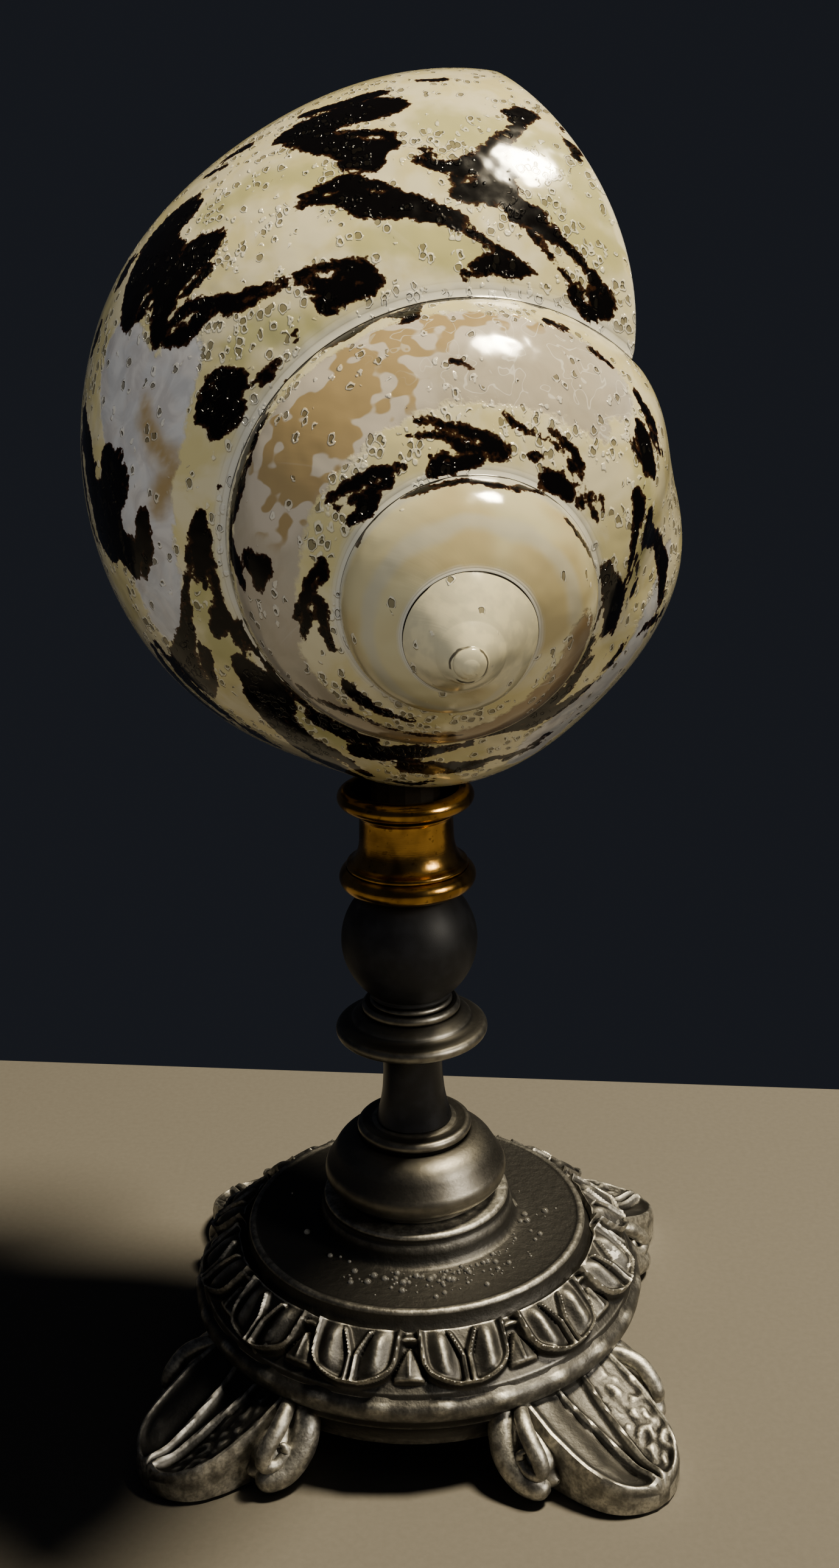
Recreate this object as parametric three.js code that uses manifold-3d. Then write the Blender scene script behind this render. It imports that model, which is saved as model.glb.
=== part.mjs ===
// West Indian top shell, ground and polished, held apex forward on a turned stand with a cast leaf foot.
// Millimetres, +Z up. Every piece is built about the stem's axis, and the whole is then set down so that
// its bounding box stands centred on the origin.

import * as THREE from 'three';
import { mergeVertices } from 'three/addons/utils/BufferGeometryUtils.js';
import Module from 'manifold-3d';

const wasm = await Module();
wasm.setup();

const TAU = 2 * Math.PI;
const rad = THREE.MathUtils.degToRad;

// Clearances and fixings
const GAP = 0.3;                  // between pieces that touch
const ROD_RADIUS = 2.5;           // threaded rod through the whole stem
const BORE_RADIUS = ROD_RADIUS + GAP;

// Base casting
const PLATE_TOP = 26.6;
const BOSS_TOP = 32.0;
const RIM_RADIUS = 39.8;
const SKIRT_BOTTOM = 6.2;
const RECESS_TOP = 15;            // underside of the plate, inside the hollow skirt
const LEAF_COUNT = 12;
const LEAF_TURN = rad(-77.5);     // direction of the first leaf's midrib
const LEAF_HEIGHT = 1.7;
const FOOT_TURNS = [-49.4, 40.6, 130.6, 220.6].map(rad);
const FOOT_TIP = 59;              // reach of a foot's toe from the stem's axis

// Stem, from the boss up: where each piece starts
const BELL_BOTTOM = BOSS_TOP + GAP;
const NECK_BOTTOM = 46.2;
const DISC_BOTTOM = 62.4;
const BALL_BOTTOM = 69.7;
const BALL_CENTRE = 79.8;
const BALL_RADIUS = 11.5;
const COLLAR_BOTTOM = 89.2;
const COLLAR_TOP = 106.8;
const CUP_DEPTH = 4.1;

// Shell: a logarithmic helix about its own axis, which points at the viewer and a little down
const APEX = new THREE.Vector3(9.13, -56.47, 140.77);
const AXIS_YAW = rad(5.5);        // the spire points this far to the right of -Y
const AXIS_DIP = rad(11.15);      // and this far below level
const EXPANSION = 1.968;          // growth of every size in one turn
const SUTURE_RADIUS = 42.0;       // of the suture at the section facing right
const SUTURE_SLOPE = 1.27;        // drop of the suture from the apex for its radius there
const SUTURE_POWER = 1.05;        // the spire steepens as it grows
const BODY_SECTION = { centre: 23.7, drop: 99.1, radius: 46.8 };
const SPIRE_SECTION = { centre: 20.5, drop: 110.8, radius: 60.0 };
const SECTION_STRETCH = 1.067;
const SECTION_TILT = rad(-13.4);
const LIP_TURN = -0.68;           // growth stops here, at the suture
const LIP_LAG = 0.66;             // the periphery of a growth line trails the suture by this much
const WALL = 3.0;                 // thickness of the ground shell

// Beyond the seam, how far the whorl reaches from its centre: direction in degrees, fraction of the radius
const SUTURE_DIRECTION = -50;
const SEAM_DIRECTION = 12.6;      // here the next whorl covers the one before
const BASE_REACH = new THREE.SplineCurve([
  [SEAM_DIRECTION, 1], [30, 0.97], [45, 0.88], [60, 0.75], [78, 0.62], [97, 0.53], [120, 0.44], [150, 0.33],
  [180, 0.27], [202, 0.3], [220, 0.37],
].map(([direction, reach]) => new THREE.Vector2(direction, reach)));

// Growth was uneven, so the last whorl bulges or draws in: middle of the stretch in degrees back from the
// lip, half its length, height in mm, and the directions between which it dies away toward the base
const SWELLINGS = [
  { middle: 38, half: 38, height: -1.3, from: 90, to: 180 },
  { middle: 140, half: 57, height: 0.85, from: 90, to: 180 },
  { middle: 212, half: 42, height: 2.5, from: -18, to: 10 },
  { middle: 297, half: 27, height: -2.4, from: 90, to: 180 },
];

const GROWTH = Math.log(EXPANSION) / TAU;

// Closed-body helpers

function toSolid(geometry) {
  const bare = geometry.clone();
  bare.deleteAttribute('normal');
  bare.deleteAttribute('uv');
  const merged = mergeVertices(bare, 1e-5);
  return new wasm.Manifold(new wasm.Mesh({
    numProp: 3,
    vertProperties: new Float32Array(merged.attributes.position.array),
    triVerts: new Uint32Array(merged.index.array),
  }));
}

function toGeometry(solid) {
  const { vertProperties, triVerts, numProp } = solid.getMesh();
  const positions = new Float32Array((vertProperties.length / numProp) * 3);
  for (let i = 0; i < positions.length / 3; i++) {
    for (let k = 0; k < 3; k++) positions[3 * i + k] = vertProperties[numProp * i + k];
  }
  const geometry = new THREE.BufferGeometry();
  geometry.setAttribute('position', new THREE.BufferAttribute(positions, 3));
  geometry.setIndex(new THREE.BufferAttribute(new Uint32Array(triVerts), 1));
  return geometry;
}

// Rings of points in order, skinned into one closed body with a fan over each end
function skin(rings) {
  const around = rings[0].length;
  const points = rings.flat();
  const index = [];
  for (let i = 0; i + 1 < rings.length; i++) {
    for (let j = 0; j < around; j++) {
      const a = i * around + j;
      const b = i * around + ((j + 1) % around);
      index.push(a, b, b + around, a, b + around, a + around);
    }
  }
  for (const [ring, flip] of [[0, false], [rings.length - 1, true]]) {
    const middle = new THREE.Vector3();
    rings[ring].forEach((p) => middle.addScaledVector(p, 1 / around));
    const hub = points.push(middle) - 1;
    for (let j = 0; j < around; j++) {
      const a = ring * around + j;
      const b = ring * around + ((j + 1) % around);
      index.push(...(flip ? [a, b, hub] : [b, a, hub]));
    }
  }
  const geometry = new THREE.BufferGeometry().setFromPoints(points);
  geometry.setIndex(facingOut(points, index));
  return geometry;
}

// Triangles of a closed body, turned over if together they enclose a negative volume
function facingOut(points, index) {
  const normal = new THREE.Vector3();
  let volume = 0;
  for (let i = 0; i < index.length; i += 3) {
    const [a, b, c] = [points[index[i]], points[index[i + 1]], points[index[i + 2]]];
    volume += a.dot(normal.crossVectors(b, c));
  }
  return volume < 0 ? index.reverse() : index;
}

// Turned piece: a closed outline of [radius, height] points revolved about the stem's axis
function turned(outline, segments) {
  const profile = [...outline, outline[0]].map(([r, z]) => new THREE.Vector2(r, z));
  return new THREE.LatheGeometry(profile, segments).rotateX(Math.PI / 2);
}

// Points of a round stretch of an outline, angles in degrees from outward, turning upward
function arc(r, z, radius, from, to, steps) {
  return Array.from({ length: steps + 1 }, (_, i) => {
    const a = rad(from + ((to - from) * i) / steps);
    return [r + radius * Math.cos(a), z + radius * Math.sin(a)];
  });
}

// Shell

const spire = new THREE.Vector3(
  Math.sin(AXIS_YAW) * Math.cos(AXIS_DIP), -Math.cos(AXIS_YAW) * Math.cos(AXIS_DIP), -Math.sin(AXIS_DIP));
const right = new THREE.Vector3(1, 0, 0).addScaledVector(spire, -spire.x).normalize();
const down = new THREE.Vector3().crossVectors(right, spire);

// A growth line leans back from the suture to the periphery, and comes forward again over the base
function lag(direction) {
  if (direction < 28) return LIP_LAG * Math.sin((rad(90) * (direction - SUTURE_DIRECTION)) / 78);
  if (direction < 60) return LIP_LAG;
  return LIP_LAG * (0.5 + 0.5 * Math.cos(Math.min(1, (direction - 60) / 170) * Math.PI));
}

// Radius and drop of the suture, the line along which a whorl meets the one before
function sutureAt(turn) {
  const grown = Math.exp(GROWTH * turn);
  return new THREE.Vector2(SUTURE_RADIUS * grown, SUTURE_SLOPE * SUTURE_RADIUS * grown ** SUTURE_POWER);
}

// Radius and drop of a plain elliptical whorl
function ellipseAt(turn, direction, reach) {
  const back = THREE.MathUtils.clamp(-(turn + 1.25) / TAU, 0, 1.15) / 1.15;
  const mix = (key) => THREE.MathUtils.lerp(BODY_SECTION[key], SPIRE_SECTION[key], back);
  return new THREE.Vector2(Math.cos(rad(direction)), Math.sin(rad(direction)) * SECTION_STRETCH)
    .multiplyScalar(mix('radius') * reach)
    .rotateAround(new THREE.Vector2(), SECTION_TILT)
    .add(new THREE.Vector2(mix('centre'), mix('drop')))
    .multiplyScalar(Math.exp(GROWTH * turn));
}

// Radius and drop of the whorl's outside: the ellipse, drawn onto the suture above and the one below it
function outsideAt(turn, direction, reach) {
  const { smoothstep } = THREE.MathUtils;
  const point = ellipseAt(turn, direction, reach);
  const above = sutureAt(turn).sub(ellipseAt(turn, SUTURE_DIRECTION, 1));
  const below = sutureAt(turn + TAU).sub(ellipseAt(turn, SEAM_DIRECTION, 1));
  const fade = 1 - smoothstep(turn, LIP_TURN - TAU, LIP_TURN - TAU + 1.6);
  const near = smoothstep(direction, SUTURE_DIRECTION, SEAM_DIRECTION);
  return point.addScaledVector(above, 1 - near)
    .addScaledVector(below, fade * near * (1 - smoothstep(direction, SEAM_DIRECTION, 90)));
}

// How far the last whorl stands out beyond the plain spiral
function swellAt(growth, direction) {
  const { clamp, smoothstep } = THREE.MathUtils;
  const back = THREE.MathUtils.radToDeg(LIP_TURN - growth);
  const height = SWELLINGS.reduce((sum, swelling) => {
    const along = clamp(Math.abs(back - swelling.middle) / swelling.half, 0, 1);
    return sum + swelling.height * Math.cos((Math.PI / 2) * along) ** 2
      * (1 - smoothstep(direction, swelling.from, swelling.to));
  }, 0);
  return height * smoothstep(direction, SUTURE_DIRECTION, -20);
}

// Point of the shell by growth and by place round the whorl: 0 at the suture, 1 at the seam, 2 in the umbilicus
function shellPoint(growth, place, inset = 0) {
  const base = BASE_REACH.getPoint(Math.max(0, place - 1));
  const direction = place < 1 ? THREE.MathUtils.lerp(SUTURE_DIRECTION, SEAM_DIRECTION, place) : base.x;
  const turn = growth - lag(direction);
  const point = outsideAt(turn, direction, place < 1 ? 1 : base.y);
  const outward = new THREE.Vector2(Math.cos(rad(direction)), Math.sin(rad(direction)));
  point.addScaledVector(outward, swellAt(growth, direction));
  const middle = new THREE.Vector2(40, 88).multiplyScalar(Math.exp(GROWTH * turn));
  point.add(middle.sub(point).setLength(inset));
  return APEX.clone()
    .addScaledVector(right, point.x * Math.cos(turn))
    .addScaledVector(down, point.x * Math.sin(turn))
    .addScaledVector(spire, -point.y);
}

// One closed skin: the spire's strips, welded along the suture, the whole body whorl, the hollow behind its
// mouth, the umbilicus and the tip
function makeShell() {
  const STEPS = 24;               // growth lines from a point of the seam on to the same point of the suture
  const SPIRE_PLACES = 7;
  const BASE_PLACES = 12;
  const LINES = 112;
  const HOLLOW_STEPS = 19;
  const CALLUS = 0.7;             // glaze over the whorl before, inside the mouth
  const step = (TAU - lag(SEAM_DIRECTION)) / STEPS;
  const points = [];
  const index = [];
  const quad = (a, b, c, d) => index.push(a, b, c, a, c, d);
  const places = SPIRE_PLACES + BASE_PLACES;
  const placeOf = (column) => (column <= SPIRE_PLACES
    ? column / SPIRE_PLACES
    : 1 + (column - SPIRE_PLACES) / BASE_PLACES);
  const firstFull = LINES - STEPS;
  const outside = Array.from({ length: LINES + 1 }, () => []);
  for (let line = LINES; line >= 0; line--) {
    const growth = LIP_TURN - (LINES - line) * step;
    const last = line >= firstFull ? places : SPIRE_PLACES;
    for (let column = 0; column <= last; column++) {
      const shared = column === SPIRE_PLACES && line + STEPS <= LINES;
      outside[line][column] = shared
        ? outside[line + STEPS][0]
        : points.push(shellPoint(growth, placeOf(column))) - 1;
    }
  }
  for (let line = 0; line < LINES; line++) {
    const last = line >= firstFull ? places : SPIRE_PLACES;
    for (let column = 0; column < last; column++) {
      quad(outside[line][column], outside[line][column + 1],
        outside[line + 1][column + 1], outside[line + 1][column]);
    }
  }
  // the mouth's rim, then rings of the hollow going in
  let ring = [...outside[LINES], ...outside[firstFull].slice(SPIRE_PLACES + 1).reverse()];
  for (let back = 0; back <= HOLLOW_STEPS; back++) {
    const growth = LIP_TURN - back * step;
    const inner = ring.map((_, i) => {
      if (i <= places) return points.push(shellPoint(growth, placeOf(i), back ? WALL : WALL * 0.8)) - 1;
      const under = 1 + (0.72 * (ring.length - i)) / BASE_PLACES;
      return points.push(shellPoint(growth - STEPS * step, under, -CALLUS)) - 1;
    });
    ring.forEach((a, i) => {
      const next = (i + 1) % ring.length;
      quad(a, ring[next], inner[next], inner[i]);
    });
    ring = inner;
  }
  const fan = (loop, hub) => {
    const middle = points.push(hub) - 1;
    loop.forEach((a, i) => index.push(a, loop[(i + 1) % loop.length], middle));
  };
  const middleOf = (loop) => loop.reduce((sum, i) => sum.addScaledVector(points[i], 1 / loop.length),
    new THREE.Vector3());
  fan(ring, middleOf(ring));
  const onAxis = (drop) => APEX.clone().addScaledVector(spire, -drop);
  fan(outside.slice(firstFull).map((line) => line[places]).reverse(), onAxis(46));
  const tip = [...Array.from({ length: STEPS }, (_, line) => outside[line][0]), ...outside[0].slice(1).reverse()];
  fan(tip, onAxis(0.2));
  const geometry = new THREE.BufferGeometry().setFromPoints(points);
  geometry.setIndex(facingOut(points, index));
  return geometry;
}

// Base casting

function leafRelief(turn, across) {
  const pitch = TAU / LEAF_COUNT;
  const off = Math.abs(THREE.MathUtils.euclideanModulo(turn - LEAF_TURN + pitch / 2, pitch) - pitch / 2) / (pitch / 2);
  const lobe = Math.sin(Math.PI * Math.min(1, off / 0.78)) ** 0.7;
  const tip = 1 - THREE.MathUtils.smoothstep(across, 0.86 - 0.35 * off * off, 1.02 - 0.3 * off * off);
  const bud = THREE.MathUtils.smoothstep(off, 0.78, 0.95) * THREE.MathUtils.smoothstep(across, 0.5, 0.75);
  return Math.max(0.25 + 0.75 * lobe * tip, 0.9 * bud) * Math.min(1, across * 6);
}

function makeLeafRing() {
  const inner = new THREE.Vector2(31.4, 25.0);
  const outer = new THREE.Vector2(38.9, 18.6);
  const slope = outer.clone().sub(inner);
  const outward = new THREE.Vector2(-slope.y, slope.x).normalize();
  const ACROSS = 4;
  const TURNS = LEAF_COUNT * 5;
  const rings = Array.from({ length: TURNS }, (_, i) => {
    const turn = LEAF_TURN + (TAU * i) / TURNS;
    const section = [new THREE.Vector2(inner.x + 2, outer.y)];
    for (let j = 0; j <= ACROSS; j++) {
      const across = j / ACROSS;
      const raised = LEAF_HEIGHT * leafRelief(turn, across) * (across < 1 ? 1 : 0.35);
      section.push(inner.clone().addScaledVector(slope, across).addScaledVector(outward, raised));
    }
    return section.map((p) => new THREE.Vector3(p.x * Math.cos(turn), p.x * Math.sin(turn), p.y));
  });
  const around = rings[0].length;
  const index = [];
  for (let i = 0; i < TURNS; i++) {
    for (let j = 0; j < around; j++) {
      const [a, b] = [i * around + j, i * around + ((j + 1) % around)];
      const next = ((i + 1) % TURNS) * around - i * around;
      index.push(a, a + next, b + next, a, b + next, b);
    }
  }
  const points = rings.flat();
  const geometry = new THREE.BufferGeometry().setFromPoints(points);
  geometry.setIndex(facingOut(points, index));
  return toSolid(geometry);
}

// One foot, pointing along +X: a long leaf that runs down to a toe, and a scroll that curls out on its left
function makeFoot() {
  const SINK = 1.2;               // the casting's round underside is ground off flat this far up
  const spine = [[31, 13.6, 8.5, 4], [37, 12.2, 10.4, 6], [43.5, 9.6, 10.8, 9.6 + SINK],
    [49.5, 7.2, 9.6, 7.2 + SINK], [55, 5.2, 6.6, 5.2 + SINK], [FOOT_TIP, 3.8, 1.8, 3.8 + SINK]];
  const AROUND = 10;
  const rings = spine.map(([x, top, half, thick]) => Array.from({ length: AROUND }, (_, j) => {
    const a = (TAU * j) / AROUND;
    const side = Math.sign(Math.cos(a)) * Math.abs(Math.cos(a)) ** 0.7;
    const rise = Math.sin(a) > 0 ? 0.5 + 0.5 * Math.sin(a) ** 0.8 : 0.5 - 0.5 * Math.abs(Math.sin(a)) ** 0.3;
    return new THREE.Vector3(x, half * side, Math.max(0, top - thick + thick * rise));
  }));
  const path = [[33, 7, 11, 3.2], [37.5, 11.4, 9.4, 4], [41.5, 13.2, 6.8, 4.2], [44, 12.6, 3.4, 4.3],
    [45.6, 11.4, 1.6, 2.6]];
  const scroll = (side) => toSolid(skin(path.map(([x, y, z, radius]) => Array.from({ length: 6 }, (_, j) => {
    const a = (side * TAU * j) / 6;
    return new THREE.Vector3(x, side * (y + radius * Math.cos(a)), Math.max(0, z + radius * Math.sin(a)));
  }))));
  return toSolid(skin(rings)).add(scroll(1)).add(scroll(-1));
}

function makeBase() {
  const outline = [
    [BORE_RADIUS, RECESS_TOP], [30, RECESS_TOP], [32, SKIRT_BOTTOM], [36.6, SKIRT_BOTTOM], [38.2, 10.5],
    [RIM_RADIUS - 0.2, 12.6], [RIM_RADIUS, 14.8], [39.3, 17.2], [37.2, 18.4], [31, 23.6], [30.4, 25.2],
    [29.2, PLATE_TOP], [17.2, PLATE_TOP], [16.5, 29.5], [15.6, BOSS_TOP], [BORE_RADIUS, BOSS_TOP],
  ];
  let base = toSolid(turned(outline, 24)).add(makeLeafRing());
  const foot = toGeometry(makeFoot());
  for (const turn of FOOT_TURNS) {
    base = base.add(toSolid(foot.clone().rotateZ(turn)));
  }
  return toGeometry(base);
}

// Stem pieces, from the bottom up

const bellOutline = [
  [BORE_RADIUS, BELL_BOTTOM], [12.4, BELL_BOTTOM], [12.9, 33.4],
  ...arc(13.1, 36.4, 2.8, -48, 40, 3), [14.1, 40.5], [12.2, 42.6], [9.3, 43.7],
  ...arc(8.9, 44.7, 0.95, -50, 90, 2), [7.2, NECK_BOTTOM - GAP], [BORE_RADIUS, NECK_BOTTOM - GAP],
];

const neckOutline = [
  [BORE_RADIUS, NECK_BOTTOM], [6.4, NECK_BOTTOM], [5.9, 48.6], [5.5, 51.6], [5.15, 55.5], [5.3, 59.5],
  [6.2, DISC_BOTTOM - GAP], [BORE_RADIUS, DISC_BOTTOM - GAP],
];

const discOutline = [
  [BORE_RADIUS, DISC_BOTTOM], [10.6, DISC_BOTTOM], ...arc(12.0, 63.6, 1.0, -60, 60, 2), [11.4, 65.2],
  [9.4, 66.9], [7.6, 67.8], [6.8, 68.7], [6.6, BALL_BOTTOM - GAP],
  [BORE_RADIUS, BALL_BOTTOM - GAP],
];

const ballOutline = [
  [BORE_RADIUS, BALL_BOTTOM], [7.0, BALL_BOTTOM], [7.0, 70.5],
  ...arc(0, BALL_CENTRE, BALL_RADIUS, -52, 54, 7), [BORE_RADIUS, COLLAR_BOTTOM - GAP],
];

const collarOutline = [
  [BORE_RADIUS, COLLAR_BOTTOM], [8.6, COLLAR_BOTTOM], ...arc(9.5, 91.4, 1.9, -60, 50, 2), [9.9, 93.5],
  [8.6, 95.2], [7.9, 98], [7.8, 101.9], [8.3, 102.8], [7.8, 103.6],
  ...arc(9.85, COLLAR_TOP - 1.45, 1.45, -60, 90, 3), [8.9, COLLAR_TOP - 0.1], [8.2, COLLAR_TOP - 1.4],
  [7.4, COLLAR_TOP - CUP_DEPTH], [BORE_RADIUS, COLLAR_TOP - CUP_DEPTH],
];

// Assembly

const FINISHES = {
  nacre: { color: 0xd9d2bd, roughness: 0.22, metalness: 0 },
  blackCasting: { color: 0x1b1a18, roughness: 0.38, metalness: 0.6 },
  gunmetal: { color: 0x2b2a27, roughness: 0.3, metalness: 0.8 },
  mattBlack: { color: 0x141414, roughness: 0.55, metalness: 0.1 },
  brass: { color: 0xb5812e, roughness: 0.28, metalness: 1 },
  glue: { color: 0x7d7462, roughness: 0.4, metalness: 0 },
  steel: { color: 0x8a8883, roughness: 0.4, metalness: 1 },
};

const standing = new THREE.Group();

function place(name, geometry, finish) {
  const mesh = new THREE.Mesh(geometry, new THREE.MeshStandardMaterial(FINISHES[finish]));
  mesh.name = name;
  standing.add(mesh);
  return mesh;
}

const shell = place('shell', makeShell(), 'nacre');
place('base', makeBase(), 'blackCasting');
place('bell', turned(bellOutline, 20), 'gunmetal');
place('neck', turned(neckOutline, 14), 'mattBlack');
place('disc', turned(discOutline, 20), 'gunmetal');
place('ball', turned(ballOutline, 20), 'mattBlack');
place('brass_collar', turned(collarOutline, 20), 'brass');

const WASHER_TOP = RECESS_TOP - GAP;
const NUT_TOP = WASHER_TOP - 1.2 - GAP;
const NUT_HEIGHT = 4;
const ROD_BOTTOM = NUT_TOP - NUT_HEIGHT - 1.5;
const ROD_TOP = COLLAR_TOP - CUP_DEPTH + 1.2;
place('washer', turned([[BORE_RADIUS, WASHER_TOP - 1.2], [7, WASHER_TOP - 1.2], [7, WASHER_TOP],
  [BORE_RADIUS, WASHER_TOP]], 16), 'steel');
const nutBlank = new THREE.CylinderGeometry(4.6, 4.6, NUT_HEIGHT, 6).rotateX(Math.PI / 2);
const nutBore = new THREE.CylinderGeometry(BORE_RADIUS, BORE_RADIUS, NUT_HEIGHT + 2, 12).rotateX(Math.PI / 2);
const nut = toGeometry(toSolid(nutBlank).subtract(toSolid(nutBore)));
place('hex_nut', nut, 'steel').position.z = NUT_TOP - NUT_HEIGHT / 2;
const rod = new THREE.CylinderGeometry(ROD_RADIUS, ROD_RADIUS, ROD_TOP - ROD_BOTTOM, 12).rotateX(Math.PI / 2);
place('threaded_rod', rod, 'steel').position.z = (ROD_TOP + ROD_BOTTOM) / 2;

// Adhesive in the collar's cup: it follows the shell's underside GAP below it, and stays inside the cup
function makeAdhesive() {
  const PAD_RADIUS = 5.8;
  const floor = COLLAR_TOP - CUP_DEPTH + GAP;
  const blank = new THREE.CylinderGeometry(PAD_RADIUS, PAD_RADIUS, 6.4, 14).rotateX(Math.PI / 2)
    .translate(0, 0, floor + 3.2);
  const rodHole = new THREE.CylinderGeometry(BORE_RADIUS, BORE_RADIUS, 4, 12).rotateX(Math.PI / 2)
    .translate(0, 0, ROD_TOP + GAP - 2);
  const lowered = toSolid(shell.geometry.clone().translate(0, 0, -GAP));
  return toGeometry(toSolid(blank).subtract(toSolid(rodHole)).subtract(lowered));
}
place('adhesive_pad', makeAdhesive(), 'glue');

const box = new THREE.Box3().setFromObject(standing);
standing.position.set(-(box.min.x + box.max.x) / 2, -(box.min.y + box.max.y) / 2, -box.min.z);

const group = new THREE.Group();
group.add(standing);
export default group;
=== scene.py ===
"""A ground and polished West Indian top shell, spire forward, on a turned stand with a cast leaf foot."""

import logging
import math
import random
from dataclasses import dataclass, field
from enum import Enum

import bmesh
import bpy
import numpy as np
from mathutils import Matrix, Vector, noise


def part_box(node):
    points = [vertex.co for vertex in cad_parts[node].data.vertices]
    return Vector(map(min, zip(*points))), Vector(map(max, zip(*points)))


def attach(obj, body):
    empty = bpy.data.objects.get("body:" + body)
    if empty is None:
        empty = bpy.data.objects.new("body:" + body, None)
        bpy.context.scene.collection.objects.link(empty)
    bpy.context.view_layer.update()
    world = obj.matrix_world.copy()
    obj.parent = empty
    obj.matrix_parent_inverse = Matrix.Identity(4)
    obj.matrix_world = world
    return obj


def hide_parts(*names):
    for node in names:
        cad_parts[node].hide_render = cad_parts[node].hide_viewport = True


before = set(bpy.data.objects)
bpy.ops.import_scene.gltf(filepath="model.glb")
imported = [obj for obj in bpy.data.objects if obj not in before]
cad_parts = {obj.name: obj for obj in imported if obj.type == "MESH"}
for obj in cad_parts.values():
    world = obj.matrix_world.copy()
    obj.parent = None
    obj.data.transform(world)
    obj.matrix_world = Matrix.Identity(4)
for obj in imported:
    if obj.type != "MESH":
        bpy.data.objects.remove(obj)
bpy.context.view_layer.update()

MM = 0.001
TAU = 2 * math.pi
WELD = 1e-6
SEAM_WELD = 2e-6
LOG = logging.getLogger("top_shell")
Colour = tuple[float, float, float]
Outline = list[tuple[float, float]]
Socket = bpy.types.NodeSocket
Solid = bmesh.types.BMesh
Piece = bpy.types.Object


# The stem's axis stands where the collar does, and everything is measured from there in millimetres

def stem_axis() -> Vector:
    """Place of the stem's axis on the ground, in metres."""
    low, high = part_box("brass_collar")
    return Vector(((low.x + high.x) / 2, (low.y + high.y) / 2, 0.0))


STEM = stem_axis()


def smoothstep(value: np.ndarray, low: float, high: float) -> np.ndarray:
    """Smooth rise from 0 at low to 1 at high."""
    t = np.clip((value - low) / (high - low), 0, 1)
    return t * t * (3 - 2 * t)


def ridge(off: np.ndarray, wide: float) -> np.ndarray:
    """Rounded ridge of height 1 and about this half width, by distance from its crest."""
    return np.exp(-(off / wide) ** 2)


def through(knots: np.ndarray, at: np.ndarray) -> np.ndarray:
    """Smooth curve through knots.

    Args:
        knots: One knot a row.
        at: Places along it, 0 at the first knot and one more at each next.

    Returns:
        One row a place.
    """
    last = len(knots) - 1
    i = np.minimum(at.astype(int), last - 1)
    w = (at - i)[..., None]
    before, a, b, after = knots[np.maximum(i - 1, 0)], knots[i], knots[i + 1], knots[np.minimum(i + 2, last)]
    start, end = (b - before) / 2, (after - a) / 2
    return (2 * a - 2 * b + start + end) * w**3 + (3 * b - 3 * a - 2 * start - end) * w**2 + start * w + a


# Node helpers


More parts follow.
